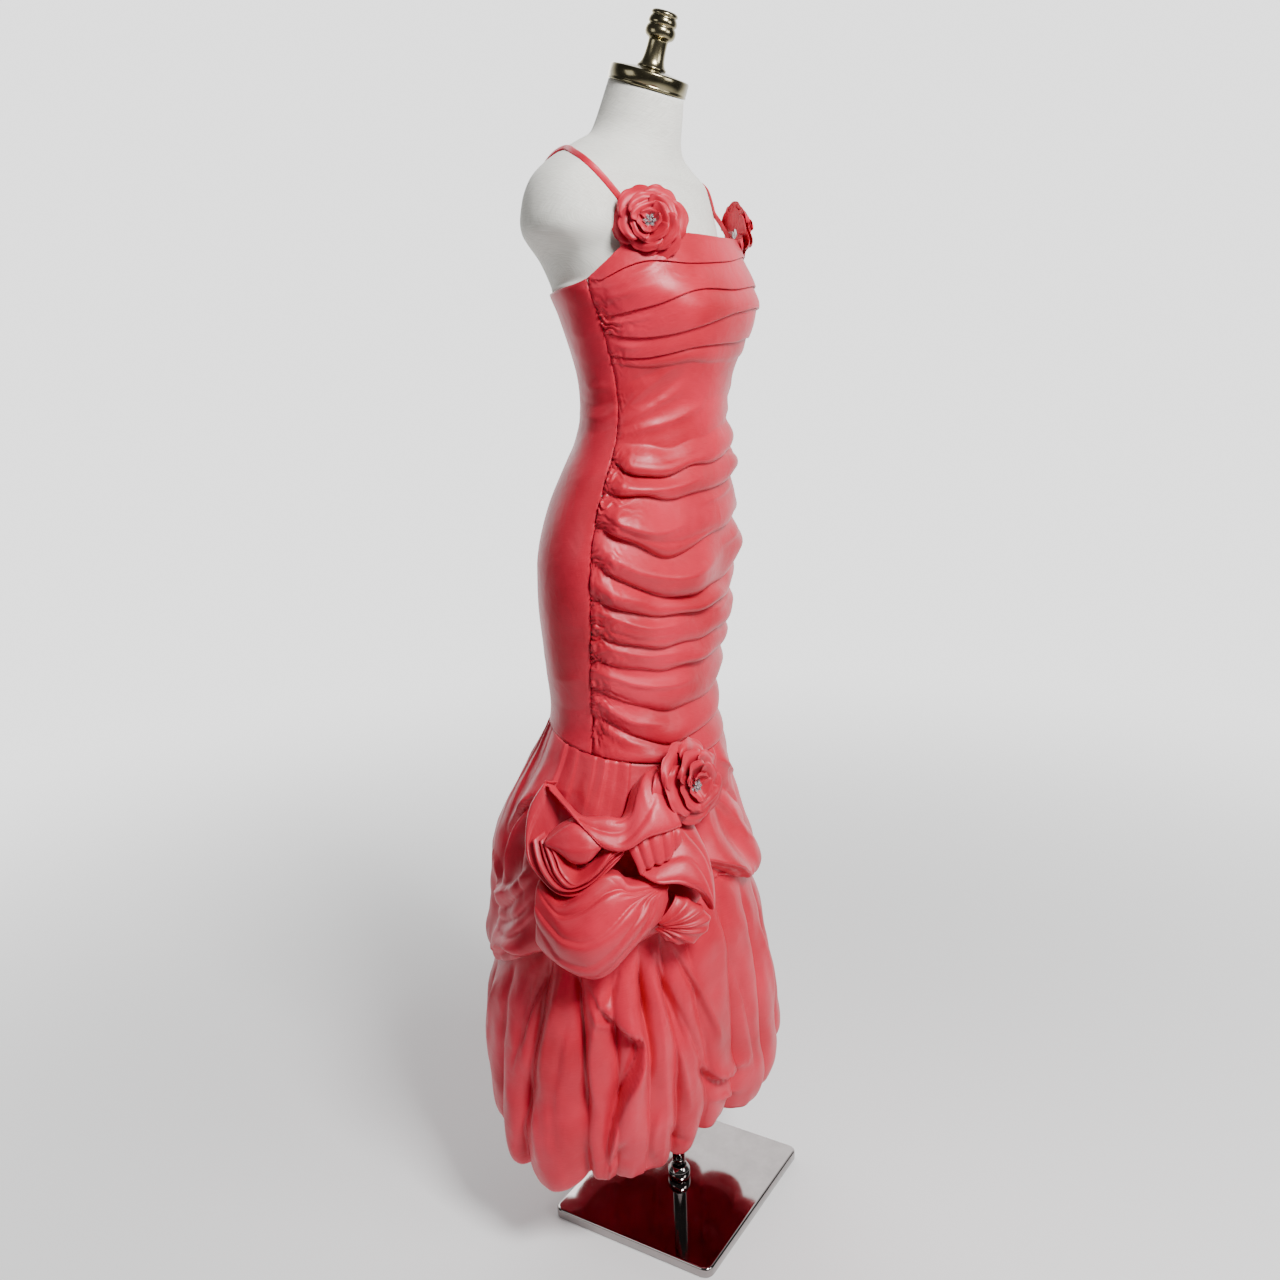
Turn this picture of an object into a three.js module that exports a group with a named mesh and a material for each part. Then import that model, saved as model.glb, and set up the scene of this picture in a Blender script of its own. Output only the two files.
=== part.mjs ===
// Coral mermaid evening gown on a limbless dress form with a neck cap, pole and base plate.
// Units are millimetres and degrees, +Z is up. The front faces -Y, the wearer's right is -X.
// Angles go round the body: 0 is the centre front, +90 the wearer's left side, 180 the centre back.

import * as THREE from 'three';

// Driving dimensions
const clothWall = 2.2; // satin with its backing
const formClearance = 2.2; // air between the form and the cloth
const seamGap = 0.5; // between two sewn pieces, along the seam
const plateWidth = 304;
const plateDepth = 267;
const plateHeight = 15;
const plateCorner = 14;
const plateBevel = 1.5;
const poleRadius = 10;
const poleCollarRadius = 17;
const poleCollarHeight = 22;
const formBottom = 880;
const neckTilt = 20; // the neck's cut leans forward
const neckTopHeight = 1587.5;
const capRadius = 50.5;
const capHeight = 18;
const capDome = 5;
const finialHeight = 66;
const kneeSeamFront = 728;
const kneeSeamBack = 778;
const zipHalfWidth = 3;
const flowerHub = 7;
const flowerBaseRadius = 48; // the flower size that the petal and jewel tables are for
const petalOverlap = 8;
const jewelStem = 6.4;
const strapWidth = 8;
const strapWall = 1.6;
const strapAir = 2.8; // strap above the shoulder, along the line from the chest's middle
const strapSeatFront = 1.2; // strap end above the bodice's edge
const strapSeatBack = 2;
const strapTouchFrom = 0.3; // share of the strap's length from which it lies on the form
const strapTouchTo = 0.88;
const petalWall = 1.4;
const drapeAir = 0.9; // a drape above the flounce that it lies on
const drapeWall = 2;
const sideSeamReach = 150; // side seam from the body's middle, to turn a gap into an angle
const seamGatherSpread = 16; // degrees from the side seam over which its gathers die away
const seamSwell = 0.35; // share of a fold's rise that is left at the side seam
const chestHeart = { forward: 20, up: 1400 }; // a point deep inside the chest
const skirtHeart = 55; // how far back the skirt's middle lies
const outsideReach = 600; // from a heart to well outside the gown

// Outside of the cloth at rest, from the hem up: half widths to the side, front and back, the
// section's centre line, and how far the bust swells at 40 degrees to each side of the front.
const gownOutline = [
  { height: 100, side: 262, front: 200, back: 204, centre: 70, bust: 0 },
  { height: 160, side: 264, front: 208, back: 206, centre: 70, bust: 0 },
  { height: 229, side: 260, front: 215, back: 210, centre: 70, bust: 0 },
  { height: 282, side: 250, front: 213, back: 218, centre: 70, bust: 0 },
  { height: 339, side: 240, front: 208, back: 214, centre: 70, bust: 0 },
  { height: 436, side: 228, front: 193, back: 220, centre: 70, bust: 0 },
  { height: 487, side: 225, front: 193, back: 204, centre: 70, bust: 0 },
  { height: 542, side: 220, front: 186, back: 198, centre: 68, bust: 0 },
  { height: 591, side: 210, front: 162, back: 193, centre: 66, bust: 0 },
  { height: 647, side: 190, front: 142, back: 178, centre: 62, bust: 0 },
  { height: 700, side: 163, front: 130, back: 151, centre: 57, bust: 0 },
  { height: 735, side: 146, front: 119, back: 130, centre: 54, bust: 0 },
  { height: 780, side: 135, front: 109, back: 109, centre: 53, bust: 0 },
  { height: 850, side: 148, front: 104, back: 115, centre: 46, bust: 0 },
  { height: 900, side: 158, front: 107, back: 122, centre: 41, bust: 0 },
  { height: 950, side: 168, front: 105, back: 126, centre: 35, bust: 0 },
  { height: 1000, side: 172, front: 106, back: 126, centre: 31, bust: 0 },
  { height: 1030, side: 169, front: 105, back: 124, centre: 28, bust: 0 },
  { height: 1075, side: 155, front: 101, back: 118, centre: 22, bust: 0 },
  { height: 1120, side: 137, front: 97, back: 108, centre: 13, bust: 0 },
  { height: 1155, side: 122, front: 91, back: 99, centre: 6, bust: 0 },
  { height: 1190, side: 115, front: 88, back: 93, centre: 2, bust: 0 },
  { height: 1230, side: 118, front: 92, back: 94, centre: 0, bust: 1 },
  { height: 1270, side: 128, front: 104, back: 101, centre: 0, bust: 6 },
  { height: 1318, side: 141, front: 120, back: 113, centre: 2, bust: 12 },
  { height: 1345, side: 150, front: 118, back: 121, centre: 4, bust: 10 },
  { height: 1380, side: 147, front: 112, back: 124, centre: 8, bust: 6 },
  { height: 1412, side: 140, front: 108, back: 122, centre: 12, bust: 3 },
];

// The bare form above the bust, ring by ring. Each ring's height differs at front, side and back,
// and cap is how far the capped shoulder stands out beside the armhole.
const shoulderRings = [
  { frontUp: 1345, sideUp: 1345, backUp: 1345, side: 146, front: 113, back: 116, centre: 4, bust: 9, cap: 0 },
  { frontUp: 1374, sideUp: 1360, backUp: 1352, side: 141, front: 98, back: 117, centre: 8, bust: 4, cap: 0 },
  { frontUp: 1400, sideUp: 1387, backUp: 1380, side: 136, front: 87, back: 120, centre: 13, bust: 0, cap: 16 },
  { frontUp: 1426, sideUp: 1415, backUp: 1412, side: 152, front: 79, back: 117, centre: 18, bust: 0, cap: 30 },
  { frontUp: 1450, sideUp: 1446, backUp: 1448, side: 156, front: 70, back: 108, centre: 20, bust: 0, cap: 28 },
  { frontUp: 1468, sideUp: 1472, backUp: 1480, side: 152, front: 63, back: 96, centre: 20, bust: 0, cap: 22 },
  { frontUp: 1478, sideUp: 1488, backUp: 1504, side: 143, front: 59, back: 83, centre: 18, bust: 0, cap: 12 },
  { frontUp: 1486, sideUp: 1500, backUp: 1522, side: 124, front: 55, back: 70, centre: 17, bust: 0, cap: 4 },
  { frontUp: 1495, sideUp: 1511, backUp: 1534, side: 98, front: 52, back: 61, centre: 16, bust: 0, cap: 0 },
  { frontUp: 1506, sideUp: 1524, backUp: 1542, side: 71, front: 51, back: 57, centre: 15, bust: 0, cap: 0 },
  { frontUp: 1522, sideUp: 1540, backUp: 1556, side: 57, front: 51, back: 55, centre: 13, bust: 0, cap: 0 },
  { frontUp: 1546, sideUp: 1563, backUp: 1580, side: 51, front: 49, back: 51, centre: 7, bust: 0, cap: 0 },
  { frontUp: 1569.5, sideUp: 1587, backUp: 1604.5, side: 48, front: 46, back: 46, centre: 1, bust: 0, cap: 0 },
];
const bustAround = 40;
const bustSpread = 22;
const capAround = 108;
const capSpread = 34;

// Top edge of the bodice, and the side seam between the front and back panels
const topEdge = [
  { around: 0, height: 1404 },
  { around: 45, height: 1405 },
  { around: 62, height: 1395 },
  { around: 77, height: 1372 },
  { around: 90, height: 1355 },
  { around: 110, height: 1347 },
  { around: 140, height: 1342 },
  { around: 180, height: 1336 },
];
const sideSeam = [
  { height: 700, around: 81.5 },
  { height: 751, around: 81 },
  { height: 829, around: 80 },
  { height: 900, around: 77.5 },
  { height: 960, around: 76 },
  { height: 1040, around: 76.5 },
  { height: 1110, around: 79 },
  { height: 1190, around: 81.5 },
  { height: 1258, around: 84 },
  { height: 1333, around: 88 },
  { height: 1400, around: 91 },
];

// Creases of the front panel, top to bottom: the height of each at six places across the panel.
// rise is how far the cloth stands out between this crease and the next, gathers how far the
// small seam gathers do, and steps the rows of wall from this crease to the next.
const creaseAngles = [-80, -55, -30, 0, 38, 80];
const frontCreases = [
  { at: [1354, 1373, 1371, 1376, 1386, 1362], rise: 3, gathers: 1.2, steps: 3 },
  { at: [1312, 1322, 1340, 1342, 1348, 1324], rise: 3.5, gathers: 1.5, steps: 3 },
  { at: [1290, 1286, 1297, 1314, 1320, 1300], rise: 3.5, gathers: 1.5, steps: 3 },
  { at: [1264, 1264, 1273, 1276, 1284, 1272], rise: 2, gathers: 1, steps: 2 },
  { at: [1252, 1250, 1254, 1253, 1258, 1256], rise: 0.8, gathers: 1.2, steps: 3 },
  { at: [1208, 1206, 1208, 1210, 1214, 1212], rise: 1, gathers: 1.2, steps: 3 },
  { at: [1159, 1155, 1153, 1166, 1180, 1178], rise: 7, gathers: 2, steps: 4 },
  { at: [1138, 1118, 1124, 1131, 1147, 1150], rise: 6, gathers: 2.2, steps: 4 },
  { at: [1100, 1094, 1088, 1094, 1107, 1112], rise: 8, gathers: 2.2, steps: 4 },
  { at: [1060, 1040, 1013, 1030, 1046, 1062], rise: 9, gathers: 2.2, steps: 4 },
  { at: [1022, 990, 962, 960, 981, 1008], rise: 8, gathers: 2.2, steps: 4 },
  { at: [976, 950, 936, 937, 946, 962], rise: 7, gathers: 2.2, steps: 4 },
  { at: [924, 904, 894, 892, 900, 916], rise: 5, gathers: 2.2, steps: 4 },
  { at: [884, 872, 862, 860, 866, 880], rise: 6, gathers: 2.2, steps: 4 },
  { at: [846, 820, 800, 802, 815, 836], rise: 6, gathers: 2.2, steps: 4 },
  { at: [806, 775, 758, 762, 775, 792], rise: 4, gathers: 2.2, steps: 4 },
];
const frontColumns = 14;

// Upper flounce: pleated into the knee seam, puffed, and turned under at its lower edge
const pleatCount = 36;
const pleatDepth = 3;
const upperEdge = [
  { around: -180, height: 410 },
  { around: -137, height: 415 },
  { around: -116, height: 440 },
  { around: -91, height: 488 },
  { around: -60, height: 500 },
  { around: -35, height: 522 },
  { around: -10, height: 556 },
  { around: 10, height: 530 },
  { around: 44, height: 500 },
  { around: 90, height: 448 },
  { around: 137, height: 415 },
  { around: 180, height: 410 },
];
const upperFolds = [
  { around: -150, lean: -6, width: 9, depth: 9 },
  { around: -124, lean: -10, width: 8, depth: 12 },
  { around: -104, lean: -16, width: 7, depth: 8 },
  { around: -84, lean: 0, width: 7, depth: 6 },
  { around: -62, lean: 0, width: 8, depth: 6 },
  { around: -20, lean: 4, width: 7, depth: 7 },
  { around: 4, lean: 6, width: 8, depth: 11 },
  { around: 34, lean: 6, width: 9, depth: 10 },
  { around: 62, lean: 5, width: 8, depth: 8 },
  { around: 92, lean: 8, width: 9, depth: 12 },
  { around: 124, lean: 8, width: 8, depth: 9 },
  { around: 152, lean: 4, width: 9, depth: 11 },
  { around: 178, lean: 0, width: 8, depth: 8 },
];
const upperRows = [
  { down: 0, out: -0.6, pleats: 1, folds: 0 },
  { down: 0.07, out: 0.5, pleats: 1, folds: 0.1 },
  { down: 0.18, out: 1, pleats: 0.8, folds: 0.4 },
  { down: 0.34, out: 1, pleats: 0.4, folds: 0.85 },
  { down: 0.5, out: 1, pleats: 0.15, folds: 1 },
  { down: 0.66, out: 1, pleats: 0, folds: 1 },
  { down: 0.8, out: 2, pleats: 0, folds: 0.9 },
  { down: 0.93, out: 0, pleats: 0, folds: 0.6 },
  { down: 1, out: -11, pleats: 0, folds: 0.3 },
  { down: 0.985, out: -20, pleats: 0, folds: 0 },
];

// Lower flounce: the valleys between its folds. Each runs from one angle above to another at the
// hem and keeps a share of its depth down there. hem and reach place the hem beside it, and sag is
// how much lower the next fold's belly hangs.
const lowerFolds = [
  { above: -176, below: -178, depth: 12, keep: 1, hem: 196, reach: 0, sag: 10 },
  { above: -154, below: -158, depth: 14, keep: 1, hem: 190, reach: 4, sag: 12 },
  { above: -134, below: -137, depth: 10, keep: 1, hem: 202, reach: -6, sag: 8 },
  { above: -112, below: -119, depth: 12, keep: 0.7, hem: 186, reach: -12, sag: 20 },
  { above: -90, below: -105, depth: 22, keep: 1, hem: 152, reach: -4, sag: 24 },
  { above: -77, below: -70, depth: 20, keep: 1, hem: 166, reach: -14, sag: 6 },
  { above: -62, below: -59, depth: 13, keep: 0.4, hem: 158, reach: -26, sag: 4 },
  { above: -50, below: -47, depth: 20, keep: 0.2, hem: 154, reach: -24, sag: 4 },
  { above: -41, below: -34, depth: 15, keep: 1, hem: 164, reach: -22, sag: 8 },
  { above: -31, below: -20, depth: 13, keep: 1, hem: 178, reach: -30, sag: 6 },
  { above: -12, below: -7, depth: 12, keep: 0.8, hem: 184, reach: -34, sag: 12 },
  { above: 7, below: 9, depth: 10, keep: 1, hem: 184, reach: -6, sag: 4 },
  { above: 25, below: 26, depth: 11, keep: 1, hem: 222, reach: 0, sag: 8 },
  { above: 44, below: 47, depth: 10, keep: 1, hem: 228, reach: 2, sag: 6 },
  { above: 66, below: 72, depth: 14, keep: 1, hem: 218, reach: 2, sag: 12 },
  { above: 92, below: 97, depth: 12, keep: 1, hem: 206, reach: 0, sag: 14 },
  { above: 118, below: 122, depth: 15, keep: 1, hem: 198, reach: -2, sag: 10 },
  { above: 141, below: 144, depth: 11, keep: 1, hem: 190, reach: 2, sag: 12 },
  { above: 162, below: 164, depth: 13, keep: 1, hem: 198, reach: -2, sag: 8 },
];
const columnsPerFold = 3;
const lowerRows = [
  { down: -0.03, out: -20.9, folds: 0, reach: 0 },
  { down: 0.02, out: -20.9, folds: 0, reach: 0 },
  { down: 0.1, out: -13, folds: 0.45, reach: 0 },
  { down: 0.22, out: -3, folds: 0.9, reach: 0 },
  { down: 0.38, out: 0, folds: 1, reach: 0.1 },
  { down: 0.54, out: 0, folds: 1, reach: 0.3 },
  { down: 0.7, out: 0, folds: 1, reach: 0.55 },
  { down: 0.84, out: 0, folds: 1, reach: 0.8 },
  { down: 0.94, out: -1, folds: 1, reach: 1 },
  { down: 0.995, out: -9, folds: 0.9, reach: 1 },
  { down: 0.99, out: -24, folds: 0.7, reach: 1 },
  { down: 0.93, out: -34, folds: 0.4, reach: 1 },
];

// Drapes of the rosette. Each is a folded width of cloth that follows a line of stations over the
// flounce: around and up place it, out lifts it off the flounce, width is its breadth, cup how far
// its middle bows out and roll how far its lower edge lifts.
const drapes = {
  drape_petal: [
    { around: -97, up: 722, out: 26, width: 6, cup: 0, roll: 0 },
    { around: -94, up: 690, out: 17, width: 46, cup: 5, roll: 0 },
    { around: -90, up: 652, out: 11, width: 76, cup: 9, roll: 0 },
    { around: -86, up: 614, out: 8, width: 72, cup: 10, roll: 0 },
    { around: -81, up: 584, out: 5, width: 34, cup: 5, roll: 0 },
  ],
  drape_collar: [
    { around: -92, up: 688, out: 38, width: 10, cup: 0, roll: 0 },
    { around: -79, up: 668, out: 34, width: 34, cup: 7, roll: 0 },
    { around: -66, up: 662, out: 33, width: 38, cup: 8, roll: 0 },
    { around: -55, up: 674, out: 30, width: 56, cup: 12, roll: 6 },
    { around: -47, up: 688, out: 17, width: 60, cup: 12, roll: 4 },
    { around: -42, up: 698, out: 4, width: 48, cup: 2, roll: 0 },
  ],
  drape_swag: [
    { around: -84, up: 560, out: 7, width: 36, cup: 8, roll: 0 },
    { around: -76, up: 530, out: 14, width: 74, cup: 22, roll: 4 },
    { around: -67, up: 522, out: 18, width: 100, cup: 32, roll: 6 },
    { around: -57, up: 546, out: 20, width: 94, cup: 28, roll: 4 },
    { around: -50, up: 584, out: 15, width: 60, cup: 14, roll: 0 },
    { around: -46, up: 610, out: 6, width: 28, cup: 3, roll: 0 },
  ],
  drape_loop: [
    { around: -28, up: 724, out: 1, width: 26, cup: 0, roll: 0 },
    { around: -28, up: 708, out: 12, width: 38, cup: 0, roll: 0 },
    { around: -29, up: 676, out: 11, width: 50, cup: 1, roll: 0 },
    { around: -30, up: 640, out: 17, width: 62, cup: 3, roll: 0 },
    { around: -31, up: 606, out: 34, width: 72, cup: 6, roll: 0 },
    { around: -31, up: 582, out: 40, width: 74, cup: 6, roll: 0 },
    { around: -31, up: 570, out: 24, width: 64, cup: 4, roll: 0 },
    { around: -31, up: 578, out: 6, width: 50, cup: 0, roll: 0 },
  ],
  drape_knot: [
    { around: -44, up: 536, out: 3, width: 14, cup: 2, roll: 0 },
    { around: -39, up: 538, out: 5, width: 32, cup: 12, roll: 0 },
    { around: -32, up: 541, out: 6, width: 34, cup: 15, roll: 0 },
    { around: -26, up: 550, out: 3, width: 22, cup: 4, roll: 0 },
  ],
};
const drapeSteps = 2; // rows of wall between two stations
const drapeColumns = 5;
const looseOut = 30; // a drape that starts further out starts on another drape
const swirl = {
  around: -76,
  up: 633.6,
  out: 26,
  startRadius: 30,
  endRadius: 9,
  turns: 1.4,
  depth: 20,
  flare: 0.35,
  steps: 16,
};

// Cloth flowers: where each sits on the cloth, which way it faces, its size, and how far its
// jewel's stem reaches back
const flowers = {
  flower_right: { around: -50, on: 1400, up: 1415, out: 2.6, turn: -56, rise: 8, radius: 48, stem: 4 },
  flower_left: { around: 49, on: 1400, up: 1418, out: 3.0, turn: 48, rise: 4, radius: 42, stem: 3.5 },
  flower_knee: { around: -28, on: 708, up: 708, out: 27, turn: -12, rise: 4, radius: 68, stem: 9.2 },
};
const petalLayers = [
  {
    layer: 'outer',
    petals: 6,
    columns: 24,
    rings: [
      { radius: flowerHub, height: -3, scallop: 0 },
      { radius: 24, height: 0, scallop: 0.4 },
      { radius: 40, height: 6, scallop: 0.8 },
      { radius: flowerBaseRadius, height: 4, scallop: 1 },
    ],
  },
  {
    layer: 'inner',
    petals: 5,
    columns: 20,
    rings: [
      { radius: flowerHub, height: 1, scallop: 0 },
      { radius: 19, height: 6, scallop: 0.5 },
      { radius: 28, height: 15, scallop: 1 },
    ],
  },
];
const jewelCup = { lipHeight: 9, shoulder: 9, shoulderHeight: 10, crown: 6, crownRise: 4.5 };

// Straps: where they leave the bodice, and the line between, on the wearer's right
const strapFrontAround = 50;
const strapBackAround = 160;
const strapRoute = [
  { across: -117, forward: -42, up: 1430 },
  { across: -121, forward: -27, up: 1449 },
  { across: -131, forward: -15, up: 1467 },
  { across: -138, forward: 2, up: 1485 },
  { across: -132, forward: 24, up: 1500 },
  { across: -113, forward: 50, up: 1508 },
  { across: -94, forward: 80, up: 1484 },
  { across: -78, forward: 106, up: 1444 },
  { across: -62, forward: 122, up: 1394 },
];
const strapSteps = 24;

const finishes = {
  satin: { color: 0xe2555f, roughness: 0.45, metalness: 0 },
  jersey: { color: 0xddd9cf, roughness: 0.9, metalness: 0 },
  brass: { color: 0x4a4028, roughness: 0.22, metalness: 1 },
  chrome: { color: 0x9c9894, roughness: 0.06, metalness: 1 },
  rhinestone: { color: 0xe6e6ea, roughness: 0.1, metalness: 0.6 },
  zipTape: { color: 0xd04f58, roughness: 0.7, metalness: 0 },
};

const gown = new THREE.Group();

const radians = THREE.MathUtils.degToRad;
const lerp = THREE.MathUtils.lerp;

function addPiece(name, geometry, finish, parent = gown) {
  const piece = new THREE.Mesh(geometry, new THREE.MeshStandardMaterial(finishes[finish]));
  piece.name = name;
  parent.add(piece);
  return piece;
}

// Smooth curve through one column of a table, read at a value of its key column
function slopeAt(rows, key, column, index) {
  const before = rows[Math.max(0, index - 1)];
  const after = rows[Math.min(rows.length - 1, index + 1)];
  return (after[column] - before[column]) / (after[key] - before[key]);
}

function readColumn(rows, key, column, at) {
  const last = rows.length - 1;
  const place = THREE.MathUtils.clamp(at, rows[0][key], rows[last][key]);
  let index = 0;
  while (index < last - 1 && place > rows[index + 1][key]) {
    index += 1;
  }
  const span = rows[index + 1][key] - rows[index][key];
  const t = (place - rows[index][key]) / span;
  const start = rows[index][column];
  const end = rows[index + 1][column];
  const startSlope = slopeAt(rows, key, column, index) * span;
  const endSlope = slopeAt(rows, key, column, index + 1) * span;
  const square = t * t;
  const cube = square * t;
  return (
    (2 * cube - 3 * square + 1) * start +
    (cube - 2 * square + t) * startSlope +
    (3 * square - 2 * cube) * end +
    (cube - square) * endSlope
  );
}

function wrapAngle(angle) {
  return ((((angle + 180) % 360) + 360) % 360) - 180;
}

// A point of the body's outline: an oval section, swelled at the bust, moved out along its normal
function sectionPoint(section, angle, height, out) {
  const turn = radians(angle);
  const depth = Math.cos(turn) > 0 ? section.front : section.back;
  const normal = new THREE.Vector2(Math.sin(turn) / section.side, -Math.cos(turn) / depth);
  normal.normalize();
  const away = Math.abs(wrapAngle(angle));
  const bust = section.bust * Math.exp(-(((away - bustAround) / bustSpread) ** 2));
  const cap = section.cap * Math.exp(-(((away - capAround) / capSpread) ** 2));
  const lift = out + bust + cap;
  return new THREE.Vector3(
    section.side * Math.sin(turn) + normal.x * lift,
    section.centre - depth * Math.cos(turn) + normal.y * lift,
    height,
  );
}

function gownPoint(angle, height, out) {
  const section = { cap: 0 };
  for (const column of ['side', 'front', 'back', 'centre', 'bust']) {
    section[column] = readColumn(gownOutline, 'height', column, height);
  }
  return sectionPoint(section, angle, height, out);
}

function topEdgeHeight(angle) {
  return readColumn(topEdge, 'around', 'height', Math.abs(wrapAngle(angle)));
}

function kneeSeamHeight(angle) {
  return lerp(kneeSeamFront, kneeSeamBack, (1 - Math.cos(radians(angle))) / 2);
}

const halfSeamAngle = THREE.MathUtils.radToDeg(seamGap / sideSeamReach);

function seamAngle(height) {
  return readColumn(sideSeam, 'height', 'around', height);
}

// Closed wall between an outer and an inner grid of points, rows by columns
function wallGeometry(outer, inner, ring) {
  const rows = outer.length;
  const columns = outer[0].length;
  const positions = [];
  for (const grid of [outer, inner]) {
    for (const line of grid) {
      for (const point of line) {
        positions.push(point.x, point.y, point.z);
      }
    }
  }
  const at = (layer, row, column) => (layer * rows + row) * columns + (column % columns);
  const faces = [];
  const quad = (a, b, c, d) => faces.push(a, b, c, a, c, d);
  const lastColumn = ring ? columns : columns - 1;
  for (let row = 0; row < rows - 1; row += 1) {
    for (let column = 0; column < lastColumn; column += 1) {
      quad(at(0, row, column), at(0, row + 1, column), at(0, row + 1, column + 1), at(0, row, column + 1));
      quad(at(1, row, column + 1), at(1, row + 1, column + 1), at(1, row + 1, column), at(1, row, column));
    }
  }
  for (let column = 0; column < lastColumn; column += 1) {
    quad(at(0, 0, column), at(0, 0, column + 1), at(1, 0, column + 1), at(1, 0, column));
    const rim = rows - 1;
    quad(at(1, rim, column), at(1, rim, column + 1), at(0, rim, column + 1), at(0, rim, column));
  }
  for (let row = 0; row < rows - 1 && !ring; row += 1) {
    const edge = columns - 1;
    quad(at(1, row, 0), at(1, row + 1, 0), at(0, row + 1, 0), at(0, row, 0));
    quad(at(0, row, edge), at(0, row + 1, edge), at(1, row + 1, edge), at(1, row, edge));
  }
  return outwardGeometry(positions, faces);
}

// Indexed geometry whose faces point out, whichever way its grid ran
function outwardGeometry(positions, faces) {
  const point = (index) => new THREE.Vector3().fromArray(positions, index * 3);
  let volume = 0;
  for (let face = 0; face < faces.length; face += 3) {
    volume += point(faces[face]).dot(point(faces[face + 1]).cross(point(faces[face + 2])));
  }
  const ordered = volume > 0 ? faces : faces.slice().reverse();
  const geometry = new THREE.BufferGeometry();
  geometry.setAttribute('position', new THREE.Float32BufferAttribute(positions, 3));
  geometry.setIndex(ordered);
  geometry.computeVertexNormals();
  return geometry;
}

// Unit normals of a grid of points, from its neighbours along rows and columns
function gridNormals(grid, ring) {
  const rows = grid.length;
  const columns = grid[0].length;
  return grid.map((line, row) =>
    line.map((_, column) => {
      const above = grid[Math.max(0, row - 1)][column];
      const below = grid[Math.min(rows - 1, row + 1)][column];
      const before = ring ? line[(column + columns - 1) % columns] : line[Math.max(0, column - 1)];
      const after = ring ? line[(column + 1) % columns] : line[Math.min(columns - 1, column + 1)];
      const down = below.clone().sub(above);
      return down.cross(after.clone().sub(before)).normalize();
    }),
  );
}

function moveGrid(grid, normals, distance) {
  return grid.map((line, row) =>
    line.map((point, column) => point.clone().addScaledVector(normals[row][column], distance)),
  );
}

// Base plate, pole and collar
function makeStand() {
  const outline = new THREE.Shape();
  const x = plateWidth / 2 - plateBevel;
  const y = plateDepth / 2 - plateBevel;
  outline.moveTo(-x + plateCorner, -y);
  outline.lineTo(x - plateCorner, -y);
  outline.absarc(x - plateCorner, -y + plateCorner, plateCorner, -Math.PI / 2, 0);
  outline.absarc(x - plateCorner, y - plateCorner, plateCorner, 0, Math.PI / 2);
  outline.absarc(-x + plateCorner, y - plateCorner, plateCorner, Math.PI / 2, Math.PI);
  outline.absarc(-x + plateCorner, -y + plateCorner, plateCorner, Math.PI, Math.PI * 1.5);
  const plate = new THREE.ExtrudeGeometry(outline, {
    depth: plateHeight - 2 * plateBevel,
    bevelEnabled: true,
    bevelThickness: plateBevel,
    bevelSize: plateBevel,
    bevelSegments: 1,
    curveSegments: 4,
  });
  addPiece('base_plate', plate, 'chrome').position.z = plateBevel;

  const collarTop = plateHeight + seamGap + poleCollarHeight;
  const boreRadius = poleRadius + seamGap;
  const collarProfile = [
    [boreRadius, plateHeight + seamGap],
    [poleCollarRadius, plateHeight + seamGap],
    [poleCollarRadius, collarTop - 6],
    [poleCollarRadius - 4, collarTop],
    [boreRadius, collarTop],
    [boreRadius, plateHeight + seamGap],
  ].map(([radius, height]) => new THREE.Vector2(radius, height));
  addPiece('pole_collar', uprightLathe(collarProfile, 20), 'chrome');

  const poleLength = formBottom - plateHeight - 2 * seamGap;
  const pole = new THREE.CylinderGeometry(poleRadius, poleRadius, poleLength, 20);
  pole.rotateX(Math.PI / 2);
  addPiece('pole', pole, 'chrome').position.z = plateHeight + seamGap + poleLength / 2;
}

// Lathe about +Z
function uprightLathe(profile, segments) {
  const geometry = new THREE.LatheGeometry(profile, segments);
  geometry.rotateX(Math.PI / 2);
  return geometry;
}

// The form: rings inside the gown up to the bust, then the bare shoulders and neck
const formRingHeights = [formBottom, 925, 965, 1000, 1040, 1080, 1120, 1155, 1190, 1235, 1275, 1310];
const formColumns = 26;

function formRings() {
  const inset = -(clothWall + formClearance);
  const rings = formRingHeights.map((height) => formRing((angle) => gownPoint(angle, height, inset)));
  for (const ring of shoulderRings) {
    rings.push(formRing((angle) => {
      const forward = Math.cos(radians(angle));
      const end = forward > 0 ? ring.frontUp : ring.backUp;
      return sectionPoint(ring, angle, lerp(ring.sideUp, end, Math.abs(forward)), 0);
    }));
  }
  return rings;
}

function formRing(pointAt) {
  const line = [];
  for (let column = 0; column < formColumns; column += 1) {
    line.push(pointAt((column * 360) / formColumns));
  }
  return line;
}

function makeForm() {
  const rings = formRings();
  const positions = [];
  for (const line of rings) {
    for (const point of line) {
      positions.push(point.x, point.y, point.z);
    }
  }
  const faces = [];
  const at = (ring, column) => ring * formColumns + (column % formColumns);
  for (let ring = 0; ring < rings.length - 1; ring += 1) {
    for (let column = 0; column < formColumns; column += 1) {
      faces.push(at(ring, column), at(ring, column + 1), at(ring + 1, column + 1));
      faces.push(at(ring, column), at(ring + 1, column + 1), at(ring + 1, column));
    }
  }
  for (const ring of [0, rings.length - 1]) {
    const hub = positions.length / 3;
    const middle = new THREE.Vector3();
    rings[ring].forEach((point) => middle.addScaledVector(point, 1 / formColumns));
    positions.push(middle.x, middle.y, middle.z);
    for (let column = 0; column < formColumns; column += 1) {
      const [near, far] = ring === 0 ? [column + 1, column] : [column, column + 1];
      faces.push(at(ring, near), at(ring, far), hub);
    }
  }
  return addPiece('form_torso', outwardGeometry(positions, faces), 'jersey');
}

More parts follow.
